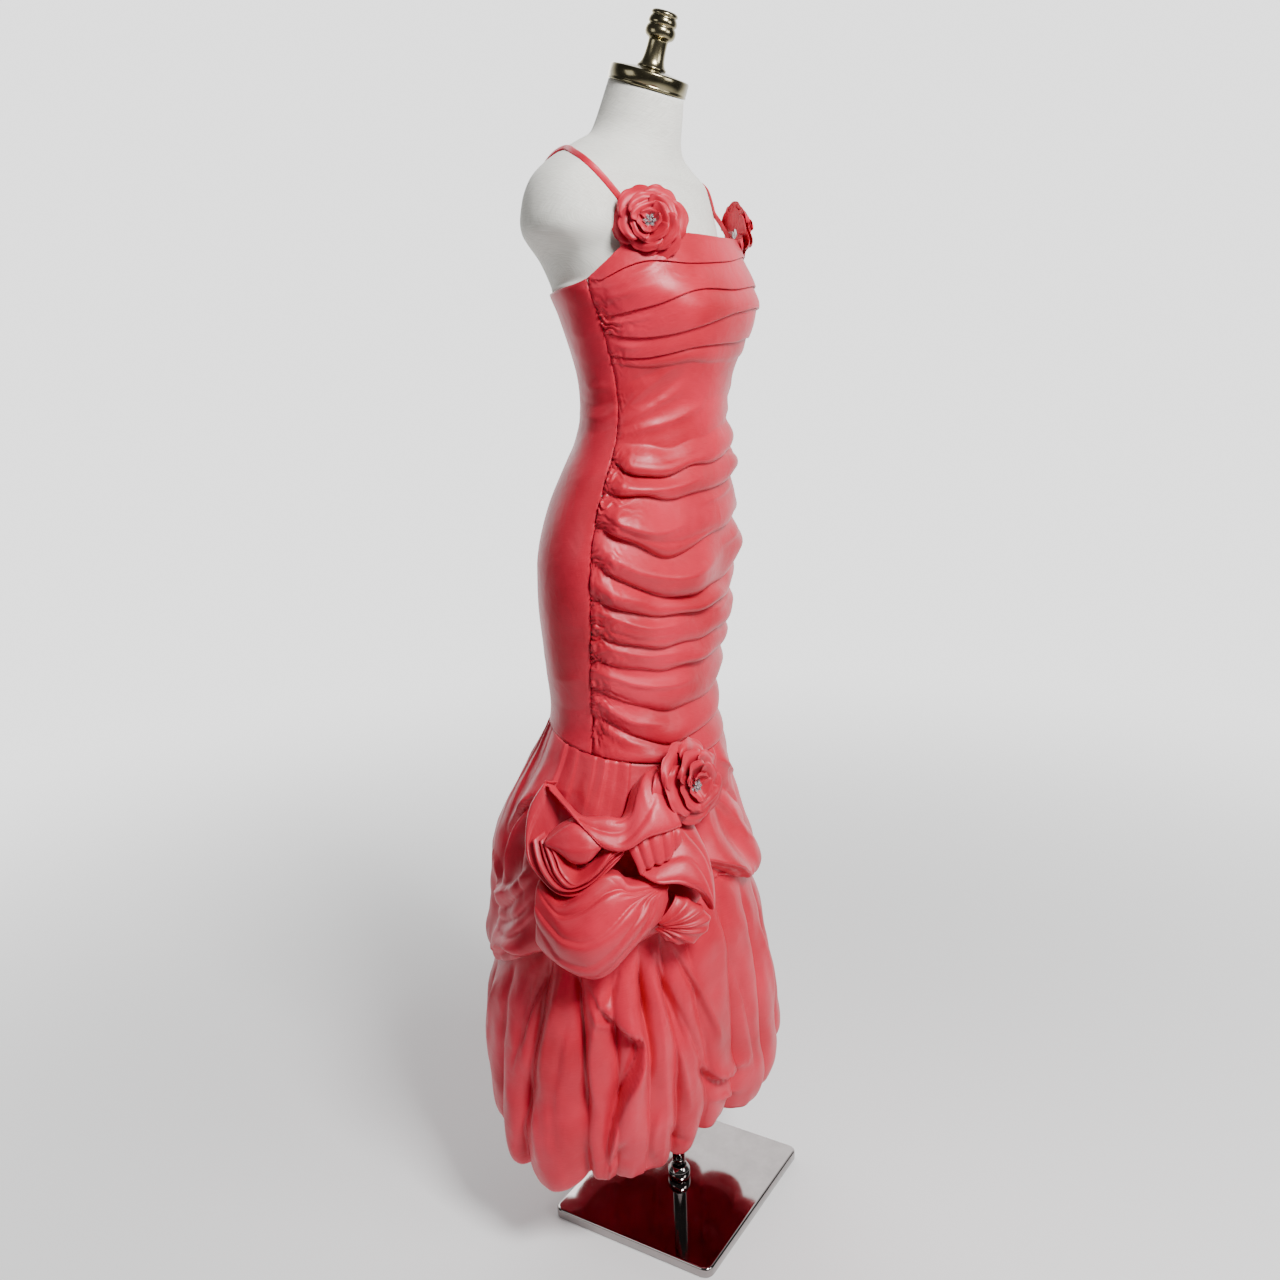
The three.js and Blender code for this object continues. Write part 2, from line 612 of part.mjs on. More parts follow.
// Metal neck cap and its turned finial, square to the neck's slanting cut
function makeNeckFittings() {
  const neckTop = new THREE.Group();
  neckTop.position.set(0, 1, neckTopHeight);
  neckTop.rotation.x = radians(neckTilt);
  gown.add(neckTop);

  const stemBottom = seamGap + capHeight + capDome;
  const cap = [
    [0, seamGap],
    [capRadius, seamGap],
    [capRadius, capHeight],
    [capRadius - 2, capHeight + 1.5],
    [20, stemBottom],
    [0, stemBottom],
  ].map(([radius, height]) => new THREE.Vector2(radius, height));
  addPiece('neck_cap', uprightLathe(cap, 24), 'brass', neckTop);

  const turned = [
    { radius: 0, height: 0 },
    { radius: 19, height: 0 },
    { radius: 17.5, height: 3 },
    { radius: 13.5, height: 12 },
    { radius: 12.4, height: 24 },
    { radius: 12.6, height: 33 },
    { radius: 18.6, height: 38 },
    { radius: 19.4, height: 43 },
    { radius: 17.4, height: 49 },
    { radius: 18.2, height: 52 },
    { radius: 16.2, height: 59 },
    { radius: 16.8, height: 62 },
    { radius: 14.4, height: 64.5 },
    { radius: 9, height: finialHeight },
    { radius: 0, height: finialHeight },
  ].map((step) => new THREE.Vector2(step.radius, stemBottom + seamGap + step.height));
  addPiece('finial', uprightLathe(turned, 12), 'brass', neckTop);
}

// Front panel: rows follow the creases, and the cloth stands out between them
function creaseHeight(index, angle) {
  if (index < 0) {
    return topEdgeHeight(angle);
  }
  if (index >= frontCreases.length) {
    return kneeSeamHeight(angle) + seamGap / 2;
  }
  const line = creaseAngles.map((around, place) => ({ around, height: frontCreases[index].at[place] }));
  return readColumn(line, 'around', 'height', angle);
}

function frontPanelRows() {
  const topRows = { rise: 2.5, gathers: 1, steps: 3 };
  const rows = [];
  for (let index = -1; index < frontCreases.length; index += 1) {
    const { rise, gathers, steps } = index < 0 ? topRows : frontCreases[index];
    for (let step = 0; step < steps; step += 1) {
      rows.push({ index, between: step / steps, rise, gathers: step % 2 === 1 ? gathers : 0 });
    }
  }
  rows.push({ index: frontCreases.length, between: 0, rise: 0, gathers: 0 });
  return rows;
}

// Folds hang, so a fold swells towards its lower crease
function foldSwell(between) {
  return Math.sin(Math.PI * between ** 1.35);
}

function rowHeight(row, angle) {
  const upper = creaseHeight(row.index, angle);
  return row.between > 0 ? lerp(upper, creaseHeight(row.index + 1, angle), row.between) : upper;
}

// Angle where a line across the cloth, its height given by angle, meets the side seam
function seamCrossing(heightAt) {
  let around = sideSeam[0].around;
  for (let pass = 0; pass < 4; pass += 1) {
    around = seamAngle(heightAt(around));
  }
  return around;
}

function frontPanelPoint(row, share, inward) {
  const side = share < 0 ? -1 : 1;
  const spread = seamCrossing((around) => rowHeight(row, side * around)) - halfSeamAngle;
  const angle = spread * share;
  const nearSeam = ((spread - Math.abs(angle)) / seamGatherSpread) ** 2;
  const gather = row.gathers * Math.exp(-nearSeam);
  const swell = row.rise * foldSwell(row.between) * Math.min(1, seamSwell + nearSeam);
  return gownPoint(angle, rowHeight(row, angle), gather + swell - inward);
}

function makeFrontPanel() {
  const rows = frontPanelRows();
  const grid = (inward) =>
    rows.map((row) => {
      const line = [];
      for (let column = 0; column <= frontColumns; column += 1) {
        const even = (2 * column) / frontColumns - 1;
        line.push(frontPanelPoint(row, lerp(even, Math.sin((even * Math.PI) / 2), 0.5), inward));
      }
      return line;
    });
  addPiece('front_panel', wallGeometry(grid(0), grid(clothWall), false), 'satin');
}

// Back panels and the closed zip between them, from the top edge down to the hip
const backShares = [0, 0.11, 0.23, 0.35, 0.47, 0.6, 0.73, 0.87, 1];
const backLevels = [
  1, 0.96, 0.92, 0.87, 0.81, 0.75, 0.69, 0.63, 0.57, 0.51, 0.44, 0.42, 0.34, 0.25, 0.16, 0.08, 0,
];
const zipLevel = 0.44;
const centreBackDepth = 115;

function backHeight(level, angle) {
  return lerp(kneeSeamHeight(angle) + seamGap / 2, topEdgeHeight(angle), level);
}

function backPoint(side, level, share, inward) {
  const centreGap = level >= zipLevel ? zipHalfWidth + seamGap : seamGap / 2;
  const start = seamCrossing((around) => backHeight(level, around)) + halfSeamAngle;
  const end = 180 - (centreGap / centreBackDepth) * THREE.MathUtils.RAD2DEG;
  const angle = lerp(start, end, share);
  return gownPoint(side * angle, backHeight(level, angle), -inward);
}

function makeBackPanels() {
  for (const [name, side] of [['back_panel_right', -1], ['back_panel_left', 1]]) {
    const grid = (inward) =>
      backLevels.map((level) => backShares.map((share) => backPoint(side, level, share, inward)));
    addPiece(name, wallGeometry(grid(0), grid(clothWall), false), 'satin');
  }
  const reach = (zipHalfWidth / centreBackDepth) * THREE.MathUtils.RAD2DEG;
  const zipLevels = backLevels.filter((level) => level >= zipLevel);
  const zipGrid = (inward) =>
    zipLevels.map((level) => {
      const height = backHeight(level, 180) + (level === zipLevel ? seamGap : 0);
      return [180 - reach, 180, 180 + reach].map((angle) => gownPoint(angle, height, -inward));
    });
  addPiece('back_zip', wallGeometry(zipGrid(0.3), zipGrid(clothWall), false), 'zipTape');
}

// Upper flounce
function upperFoldDepth(angle, down) {
  let depth = 0;
  for (const fold of upperFolds) {
    const away = wrapAngle(angle - fold.around - fold.lean * down) / fold.width;
    depth += fold.depth * Math.exp(-away * away);
  }
  return depth;
}

function upperEdgeHeight(angle) {
  return readColumn(upperEdge, 'around', 'height', wrapAngle(angle));
}

function upperPoint(angle, down, out, pleats, folds) {
  const seam = kneeSeamHeight(angle) - seamGap / 2;
  const height = lerp(seam, upperEdgeHeight(angle), down);
  const pleat = pleats * pleatDepth * (0.5 + 0.5 * Math.cos(radians(angle) * pleatCount));
  return gownPoint(angle, height, out + pleat - folds * upperFoldDepth(angle, down));
}

function flounceSurface(angle, height) {
  const seam = kneeSeamHeight(angle);
  const down = THREE.MathUtils.clamp((seam - height) / (seam - upperEdgeHeight(angle)), 0, 1);
  const pleats = Math.max(0, readColumn(upperRows.slice(0, 7), 'down', 'pleats', down));
  const folds = readColumn(upperRows.slice(0, 7), 'down', 'folds', down);
  return { down, pleats, folds };
}

// A point over the flounce, a given distance off its ridges
function overFlounce(angle, height, out) {
  const { folds, down } = flounceSurface(angle, height);
  const sunk = 0.5 * folds * upperFoldDepth(angle, down);
  return gownPoint(angle, height, out + pleatDepth - sunk);
}

function makeUpperFlounce() {
  const columns = pleatCount * 2;
  const outer = upperRows.map((row) => {
    const line = [];
    for (let column = 0; column < columns; column += 1) {
      const angle = -180 + (column * 360) / columns;
      line.push(upperPoint(angle, row.down, row.out, row.pleats, row.folds));
    }
    return line;
  });
  const inner = moveGrid(outer, gridNormals(outer, true), -clothWall);
  const rim = outer.length - 1;
  for (const edge of [0, rim]) {
    outer[edge].forEach((point, column) => {
      inner[edge][column].z = point.z;
    });
  }
  return addPiece('flounce_upper', wallGeometry(outer, inner, true), 'satin');
}

// Lower flounce: columns run down the folds, from under the upper flounce to the turned hem
function lowerColumn(index, between) {
  const fold = lowerFolds[index];
  const next = lowerFolds[(index + 1) % lowerFolds.length];
  const over = index + 1 === lowerFolds.length ? 360 : 0;
  const ridge = Math.sin(Math.PI * between) ** 0.8;
  return {
    above: lerp(fold.above, next.above + over, between),
    below: lerp(fold.below, next.below + over, between),
    valley: lerp(fold.depth, next.depth, between) * (1 - ridge),
    keep: lerp(fold.keep, next.keep, between),
    hem: lerp(fold.hem, next.hem, between) - fold.sag * ridge,
    reach: lerp(fold.reach, next.reach, between),
  };
}

function lowerPoint(column, row) {
  const angle = lerp(column.above, column.below, THREE.MathUtils.clamp(row.down, 0, 1));
  const start = upperEdgeHeight(angle);
  const height = lerp(start, column.hem, row.down);
  const valley = column.valley * lerp(1, column.keep, THREE.MathUtils.clamp(row.down, 0, 1));
  const out = row.out - row.folds * valley + row.reach * column.reach;
  return gownPoint(angle, height, out);
}

function makeLowerFlounce() {
  const columns = [];
  for (let index = 0; index < lowerFolds.length; index += 1) {
    for (let step = 0; step < columnsPerFold; step += 1) {
      columns.push(lowerColumn(index, step / columnsPerFold));
    }
  }
  const outer = lowerRows.map((row) => columns.map((column) => lowerPoint(column, row)));
  const inner = moveGrid(outer, gridNormals(outer, true), -clothWall);
  addPiece('flounce_lower', wallGeometry(outer, inner, true), 'satin');
}

// The stations of a drape, smoothed: each with its middle point and the flounce's normal there
function drapeLine(stations) {
  const rows = stations.map((station, index) => ({ ...station, index }));
  const line = [];
  for (let step = 0; step <= (stations.length - 1) * drapeSteps; step += 1) {
    const station = {};
    for (const column of ['around', 'up', 'out', 'width', 'cup', 'roll']) {
      station[column] = readColumn(rows, 'index', column, step / drapeSteps);
    }
    station.middle = overFlounce(station.around, station.up, station.out);
    station.normal = overFlounce(station.around, station.up, station.out + 1).sub(station.middle).normalize();
    line.push(station);
  }
  return line;
}

// A strip across the line, bowed by its cup and rolled at its lower edge. Where the line turns in
// towards the flounce, the strip keeps the breadth direction that it had.
function drapeGrid(stations) {
  const line = drapeLine(stations);
  let breadth = null;
  return line.map((station, index) => {
    const before = line[Math.max(0, index - 1)].middle;
    const after = line[Math.min(line.length - 1, index + 1)].middle;
    const along = after.clone().sub(before).normalize();
    let across = along.clone().cross(station.normal);
    if (breadth && across.length() < 0.7) {
      across = breadth.clone().addScaledVector(along, -breadth.dot(along));
    }
    if (breadth && across.dot(breadth) < 0) {
      across.negate();
    }
    across.normalize();
    breadth = across;
    const outward = across.clone().cross(along).normalize();
    const points = [];
    for (let column = 0; column <= drapeColumns; column += 1) {
      const share = (2 * column) / drapeColumns - 1;
      const bow = station.cup * (1 - share * share);
      const lift = bow + (station.roll * (1 + share)) / 2;
      const point = station.middle.clone().addScaledVector(across, (share * station.width) / 2);
      points.push(point.addScaledVector(outward, lift));
    }
    return points;
  });
}

// Where a point stands against a carrying piece, seen from an axis inside it: moved out where it is
// too close, and laid down on the piece where it has to touch
function laidOn(carrier, axis, point, air, touch) {
  const outward = point.clone().sub(axis);
  const reach = outward.length();
  outward.normalize();
  const start = axis.clone().addScaledVector(outward, outsideReach);
  const hit = new THREE.Raycaster(start, outward.clone().negate()).intersectObject(carrier)[0];
  const floor = outsideReach - hit.distance + air;
  return axis.clone().addScaledVector(outward, touch || reach < floor ? floor : reach);
}

function makeDrapes(flounce) {
  flounce.updateMatrixWorld(true);
  for (const [name, stations] of Object.entries(drapes)) {
    const grid = drapeGrid(stations);
    const last = grid.length - 1;
    const laid = grid.map((line, row) =>
      line.map((point) => {
        const axis = new THREE.Vector3(0, skirtHeart, point.z);
        const touch = row === last || (row === 0 && stations[0].out < looseOut);
        return laidOn(flounce, axis, point, drapeAir + drapeWall / 2, touch);
      }),
    );
    const normals = gridNormals(laid, false);
    const outer = moveGrid(laid, normals, drapeWall / 2);
    const inner = moveGrid(laid, normals, -drapeWall / 2);
    addPiece(name, wallGeometry(outer, inner, false), 'satin');
  }
}

// The swirl: a strip on edge that winds in to the heart of the rosette
function makeSwirl() {
  const heart = overFlounce(swirl.around, swirl.up, swirl.out);
  const normal = overFlounce(swirl.around, swirl.up, swirl.out + 1).sub(heart).normalize();
  const level = new THREE.Vector3(0, 0, 1).cross(normal).normalize();
  const upward = normal.clone().cross(level).normalize();
  const grid = [];
  for (let step = 0; step <= swirl.steps; step += 1) {
    const share = step / swirl.steps;
    const turn = share * swirl.turns * 2 * Math.PI + Math.PI * 0.9;
    const line = [0, 0.5, 1].map((edge) => {
      const flare = 1 + swirl.flare * edge * edge;
      const radius = lerp(swirl.startRadius, swirl.endRadius, share) * flare;
      return heart
        .clone()
        .addScaledVector(level, radius * Math.cos(turn))
        .addScaledVector(upward, radius * Math.sin(turn))
        .addScaledVector(normal, edge * swirl.depth);
    });
    grid.push(line);
  }
  const normals = gridNormals(grid, false);
  const outer = moveGrid(grid, normals, drapeWall / 2);
  const inner = moveGrid(grid, normals, -drapeWall / 2);
  addPiece('drape_swirl', wallGeometry(outer, inner, false), 'satin');
}

// A ring of overlapping petals, cupped, each lifted over the one before it
function petalGrid(petals, columns, rings, overlap) {
  const grid = [];
  for (const ring of rings) {
    const line = [];
    for (let column = 0; column < columns; column += 1) {
      const turn = (column * 2 * Math.PI) / columns;
      const share = ((petals * column) / columns) % 1;
      const lobe = 1 - 0.16 * ring.scallop * Math.abs(Math.cos(Math.PI * share)) ** 3;
      const radius = ring.radius * lobe;
      const lift = ring.height + overlap * ring.scallop * (0.5 - share) * Math.sin(Math.PI * share);
      line.push(new THREE.Vector3(radius * Math.cos(turn), radius * Math.sin(turn), lift));
    }
    grid.push(line);
  }
  return grid;
}

function makeFlowers() {
  for (const [name, seat] of Object.entries(flowers)) {
    const flower = new THREE.Group();
    flower.position.copy(gownPoint(seat.around, seat.on, seat.out)).setZ(seat.up);
    flower.rotation.set(radians(90 - seat.rise), 0, radians(seat.turn), 'ZYX');
    gown.add(flower);
    const size = seat.radius / flowerBaseRadius;
    for (const { layer, petals, columns, rings } of petalLayers) {
      const sized = rings.map((ring) => ({
        radius: lerp(flowerHub, ring.radius, size),
        height: ring.height * size,
        scallop: ring.scallop,
      }));
      const grid = petalGrid(petals, columns, sized, petalOverlap * size);
      const normals = gridNormals(grid, true);
      const front = moveGrid(grid, normals, petalWall / 2);
      const back = moveGrid(grid, normals, -petalWall / 2);
      addPiece(`${name}_${layer}`, wallGeometry(front, back, true), 'satin', flower);
    }
    const jewel = [
      [0, -seat.stem],
      [jewelStem, -seat.stem],
      [jewelStem, jewelCup.lipHeight * size],
      [jewelCup.shoulder, jewelCup.shoulderHeight * size],
      [jewelCup.crown, jewelCup.shoulderHeight * size + jewelCup.crownRise],
      [0, jewelCup.shoulderHeight * size + jewelCup.crownRise],
    ].map(([radius, height]) => new THREE.Vector2(radius, height));
    addPiece(`${name}_jewel`, uprightLathe(jewel, 8), 'rhinestone', flower);
  }
}

// Straps: a flat ribbon laid over the shoulder, no lower than the form lets it lie
function makeStraps(form) {
  form.updateMatrixWorld(true);
  const torsoHeart = new THREE.Vector3(0, chestHeart.forward, chestHeart.up);
  const anchor = (around, seat) => {
    const point = gownPoint(-around, topEdgeHeight(around) + seat, -clothWall);
    return { across: point.x, forward: point.y, up: point.z };
  };
  const front = anchor(strapFrontAround, strapSeatFront);
  const back = anchor(strapBackAround, strapSeatBack);
  const route = [front, ...strapRoute, back];
  const rows = route.map((point, index) => ({ ...point, index }));
  const routeAt = (share) => {
    const at = share * (rows.length - 1);
    return new THREE.Vector3(
      readColumn(rows, 'index', 'across', at),
      readColumn(rows, 'index', 'forward', at),
      readColumn(rows, 'index', 'up', at),
    );
  };
  const lies = (share) => share > strapTouchFrom && share < strapTouchTo;
  const under = [];
  for (let step = 0; step <= strapSteps; step += 1) {
    const share = step / strapSteps;
    const middle = routeAt(share);
    const along = routeAt(Math.min(1, share + 0.01)).sub(routeAt(Math.max(0, share - 0.01)));
    const outward = middle.clone().sub(torsoHeart);
    const across = along.cross(outward);
    if (step === 0 || step === strapSteps) {
      across.setZ(0);
    }
    across.normalize();
    const edges = [-0.5, 0.5].map((edge) => middle.clone().addScaledVector(across, edge * strapWidth));
    under.push(edges.map((point) => laidOn(form, torsoHeart, point, strapAir, lies(share))));
  }
  const over = under.map((line) =>
    line.map((point) => point.clone().addScaledVector(point.clone().sub(torsoHeart).normalize(), strapWall)),
  );
  addPiece('strap_right', wallGeometry(over, under, false), 'satin');
  const mirror = (grid) => grid.map((line) => line.map((point) => new THREE.Vector3(-point.x, point.y, point.z)));
  addPiece('strap_left', wallGeometry(mirror(over), mirror(under), false), 'satin');
}

makeStand();
const form = makeForm();
makeNeckFittings();
makeFrontPanel();
makeBackPanels();
const flounce = makeUpperFlounce();
makeLowerFlounce();
makeDrapes(flounce);
makeSwirl();
makeFlowers();
makeStraps(form);

export default gown;
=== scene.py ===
# Coral mermaid evening gown on a limbless dress form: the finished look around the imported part.
# Tables are in millimetres and degrees, like the part's own. Meshes are made in metres.
# Angles go round the body: 0 is the centre front, -90 the wearer's right, 180 the centre back.
import math

import bpy
import numpy as np
from mathutils import Matrix, Vector
from mathutils.bvhtree import BVHTree


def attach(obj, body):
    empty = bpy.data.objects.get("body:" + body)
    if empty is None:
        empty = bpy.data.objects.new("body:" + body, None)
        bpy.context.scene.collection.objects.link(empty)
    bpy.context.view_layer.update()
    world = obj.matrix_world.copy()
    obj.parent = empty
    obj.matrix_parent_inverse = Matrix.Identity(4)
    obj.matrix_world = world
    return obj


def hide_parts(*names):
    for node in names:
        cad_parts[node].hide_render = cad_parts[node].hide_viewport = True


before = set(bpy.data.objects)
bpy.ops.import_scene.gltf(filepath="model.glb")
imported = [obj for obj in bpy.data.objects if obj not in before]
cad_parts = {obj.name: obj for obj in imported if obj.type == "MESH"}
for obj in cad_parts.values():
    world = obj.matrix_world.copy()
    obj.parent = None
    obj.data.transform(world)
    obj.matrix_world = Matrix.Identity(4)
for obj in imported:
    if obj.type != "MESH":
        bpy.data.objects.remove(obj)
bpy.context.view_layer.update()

mm = 0.001

# outside of the cloth at rest, section by section, from the hem up
gownOutline = {
    "height": [100, 160, 229, 282, 339, 436, 487, 542, 591, 647, 700, 735, 780, 850, 900, 950, 1000,
               1030, 1075, 1120, 1155, 1190, 1230, 1270, 1318, 1345, 1380, 1412],
    "side": [262, 264, 260, 250, 240, 228, 225, 220, 210, 190, 163, 146, 135, 148, 158, 168, 172,
             169, 155, 137, 122, 115, 118, 128, 141, 150, 147, 140],
    "front": [200, 208, 215, 213, 208, 193, 193, 186, 162, 142, 130, 119, 109, 104, 107, 105, 106,
              105, 101, 97, 91, 88, 92, 104, 120, 118, 112, 108],
    "back": [204, 206, 210, 218, 214, 220, 204, 198, 193, 178, 151, 130, 109, 115, 122, 126, 126,
             124, 118, 108, 99, 93, 94, 101, 113, 121, 124, 122],
    "centre": [70, 70, 70, 70, 70, 70, 70, 68, 66, 62, 57, 54, 53, 46, 41, 35, 31,
               28, 22, 13, 6, 2, 0, 0, 2, 4, 8, 12],
    "bust": [0, 0, 0, 0, 0, 0, 0, 0, 0, 0, 0, 0, 0, 0, 0, 0, 0, 0, 0, 0, 0, 0, 1, 6, 12, 10, 6, 3],
}
swellings = {"bust": (40, 22), "cap": (108, 34)}  # place round the body, and how far each spreads
kneeSeam = {"front": 728, "back": 778}
topEdge = {"around": [0, 45, 62, 77, 90, 110, 140, 180],
           "height": [1404, 1405, 1395, 1372, 1355, 1347, 1342, 1336]}
sideSeam = {"height": [700, 751, 829, 900, 960, 1040, 1110, 1190, 1258, 1333, 1400],
            "around": [81.5, 81, 80, 77.5, 76, 76.5, 79, 81.5, 84, 88, 91]}


def curveThrough(keys, values, at):  # smooth curve through a short table
    keys = np.asarray(keys, float)
    values = np.asarray(values, float)
    slopes = np.empty(len(keys))
    slopes[1:-1] = (values[2:] - values[:-2]) / (keys[2:] - keys[:-2])
    slopes[0] = (values[1] - values[0]) / (keys[1] - keys[0])
    slopes[-1] = (values[-1] - values[-2]) / (keys[-1] - keys[-2])
    place = np.clip(at, keys[0], keys[-1])
    index = np.clip(np.searchsorted(keys, place) - 1, 0, len(keys) - 2)
    span = keys[index + 1] - keys[index]
    t = (place - keys[index]) / span
    square, cube = t * t, t * t * t
    return ((2 * cube - 3 * square + 1) * values[index] + (cube - 2 * square + t) * slopes[index] * span
            + (3 * square - 2 * cube) * values[index + 1] + (cube - square) * slopes[index + 1] * span)


def mix(a, b, t):
    return a + (b - a) * t


def ease(low, high, value):
    t = np.clip((value - low) / (high - low), 0, 1)
    return t * t * (3 - 2 * t)


def wrapAngle(angle):
    return (angle + 180) % 360 - 180


def ovalPoint(section, angle, height, out):  # an oval section, swelled at bust and shoulder caps
    turn = np.radians(angle)
    depth = np.where(np.cos(turn) > 0, section["front"], section["back"])
    nx, ny = np.sin(turn) / section["side"], -np.cos(turn) / depth
    length = np.hypot(nx, ny)
    away = np.abs(wrapAngle(angle))
    lift = out
    for part, (around, spread) in swellings.items():
        lift = lift + section[part] * np.exp(-(((away - around) / spread) ** 2))
    x = section["side"] * np.sin(turn) + nx / length * lift
    y = section["centre"] - depth * np.cos(turn) + ny / length * lift
    return np.stack(np.broadcast_arrays(x, y, height), -1).astype(float)


def gownPoint(angle, height, out):
    section = {key: curveThrough(gownOutline["height"], gownOutline[key], height)
               for key in ("side", "front", "back", "centre", "bust")}
    section["cap"] = 0
    return ovalPoint(section, angle, height, out)


def topHeight(angle):
    return curveThrough(topEdge["around"], topEdge["height"], np.abs(wrapAngle(angle)))


def kneeHeight(angle):
    return mix(kneeSeam["front"], kneeSeam["back"], (1 - np.cos(np.radians(angle))) / 2)


def seamCrossing(heightAt, shape):  # the angle where a line across the cloth meets the side seam
    around = np.full(shape, 82.0)
    for _ in range(4):
        around = curveThrough(sideSeam["height"], sideSeam["around"], heightAt(around))
    return around


# Meshes

def makeMesh(name, points, faces, material, uvs=None, smooth=True):
    mesh = bpy.data.meshes.new(name)
    mesh.from_pydata((np.asarray(points) * mm).tolist(), [], [list(f) for f in faces])
    if uvs is not None:
        layer = mesh.uv_layers.new(name="cloth")
        corner = np.zeros(len(mesh.loops), np.int32)
        mesh.loops.foreach_get("vertex_index", corner)
        layer.data.foreach_set("uv", (np.asarray(uvs) * mm)[corner].astype(np.float32).ravel())
    mesh.polygons.foreach_set("use_smooth", [smooth] * len(mesh.polygons))
    mesh.materials.append(material)
    mesh.validate()
    piece = bpy.data.objects.new(name, mesh)
    bpy.context.scene.collection.objects.link(piece)
    return piece


def gridNormals(grid, ring):
    down = np.gradient(grid, axis=0)
    if ring:
        across = np.roll(grid, -1, 1) - np.roll(grid, 1, 1)
    else:
        across = np.gradient(grid, axis=1)
    normal = np.cross(down, across)
    return normal / np.maximum(np.linalg.norm(normal, axis=-1, keepdims=True), 1e-9)


def clothLengths(grid):  # running lengths down and across, for the weave
    down = np.zeros(grid.shape[:2])
    down[1:] = np.cumsum(np.linalg.norm(np.diff(grid, axis=0), axis=-1), 0)
    across = np.zeros(grid.shape[:2])
    across[:, 1:] = np.cumsum(np.linalg.norm(np.diff(grid, axis=1), axis=-1), 1)
    return np.stack([across, -down], -1)


def wallFaces(rows, columns, ring):
    last = columns if ring else columns - 1
    r, c = np.meshgrid(np.arange(rows - 1), np.arange(last), indexing="ij")
    r, c = r.ravel(), c.ravel()
    nextColumn = (c + 1) % columns
    outer = np.stack([r * columns + c, (r + 1) * columns + c,
                      (r + 1) * columns + nextColumn, r * columns + nextColumn], 1)
    shift = rows * columns
    faces = [outer, outer[:, ::-1] + shift]
    c = np.arange(last)
    nextColumn = (c + 1) % columns
    end = (rows - 1) * columns
    faces.append(np.stack([c, nextColumn, nextColumn + shift, c + shift], 1))
    faces.append(np.stack([end + c + shift, end + nextColumn + shift, end + nextColumn, end + c], 1))
    if not ring:
        r = np.arange(rows - 1) * columns
        faces.append(np.stack([r + shift, r + columns + shift, r + columns, r], 1))
        r = r + columns - 1
        faces.append(np.stack([r, r + columns, r + columns + shift, r + shift], 1))
    return np.concatenate(faces)


def makeCloth(name, grid, wall, ring, material):  # a thin closed wall whose outside is the grid
    normals = gridNormals(grid, ring)
    inner = grid - normals * wall
    points = np.concatenate([grid.reshape(-1, 3), inner.reshape(-1, 3)])
    lengths = clothLengths(grid).reshape(-1, 2)
    faces = wallFaces(grid.shape[0], grid.shape[1], ring)
    return makeMesh(name, points, faces, material, np.concatenate([lengths, lengths]))


# Listed folds: each is a path with a depth, and a width above and below it

foldShape = {"reach": 2.6, "ridge": 1.6, "valley": 1.1, "fade": 0.5}


def smoothPath(path, steps=8):
    path = np.asarray(path, float)
    at = np.linspace(0, len(path) - 1, (len(path) - 1) * steps + 1)
    keys = np.arange(len(path))
    return np.stack([curveThrough(keys, path[:, k], at) for k in (0, 1)], 1)


def foldLines(x, y, lines, scaleX=1.0):  # scaleX turns degrees into millimetres
    lift = np.zeros(x.shape)
    flatX, flatY = (x * scaleX).ravel(), y.ravel()
    out = lift.ravel()
    for path, depth, above, below in lines:
        line = smoothPath(path)
        line[:, 0] *= scaleX
        reach = foldShape["reach"] * max(above, below)
        near = np.nonzero((flatX > line[:, 0].min() - reach) & (flatX < line[:, 0].max() + reach)
                          & (flatY > line[:, 1].min() - reach) & (flatY < line[:, 1].max() + reach))[0]
        if not len(near):
            continue
        px, py = flatX[near], flatY[near]
        best, side, along = np.full(len(near), 1e9), np.ones(len(near)), np.zeros(len(near))
        for k in range(len(line) - 1):
            (ax, ay), (bx, by) = line[k], line[k + 1]
            dx, dy = bx - ax, by - ay
            s = np.clip(((px - ax) * dx + (py - ay) * dy) / (dx * dx + dy * dy + 1e-9), 0, 1)
            ex, ey = px - ax - s * dx, py - ay - s * dy
            distance = np.hypot(ex, ey)
            closer = distance < best
            best = np.where(closer, distance, best)
            side = np.where(closer, np.sign(dx * ey - dy * ex), side)
            along = np.where(closer, (k + s) / (len(line) - 1), along)
        width = np.where(side > 0, above, below)
        fade = np.sin(math.pi * np.clip(along, 0.02, 0.98)) ** foldShape["fade"]
        out[near] += depth * fade * np.exp(-((best / width) ** foldShape["ridge" if depth > 0 else "valley"]))
    return lift


def wander(x, y, seed, wave):  # slow uneven field from a few sines, between about -1 and 1
    random = np.random.default_rng(seed)
    field = np.zeros(np.broadcast(x, y).shape)
    for _ in range(7):
        turn = random.uniform(0, 2 * math.pi)
        rate = 2 * math.pi / (wave * random.uniform(0.6, 1.7))
        field = field + np.sin((x * math.cos(turn) + y * math.sin(turn)) * rate + random.uniform(0, 6.28))
    return field / 3.2


# Materials

def addNode(tree, kind, *inputs, **values):  # another node's output is linked, a plain value is set
    node = tree.nodes.new(kind)
    for key, value in (*values.items(), *enumerate(inputs)):
        socket = key if isinstance(key, int) else key.replace("_", " ")
        if isinstance(value, bpy.types.NodeSocket):
            tree.links.new(value, node.inputs[socket])
        elif isinstance(key, int) or socket in node.inputs:
            node.inputs[socket].default_value = value
        else:
            setattr(node, key, value)
    return node


def newMaterial(name, **sockets):
    material = bpy.data.materials.new(name)
    material.use_nodes = True
    shader = material.node_tree.nodes["Principled BSDF"]
    for key, value in sockets.items():
        shader.inputs[key.replace("_", " ")].default_value = value
    return material, material.node_tree, shader


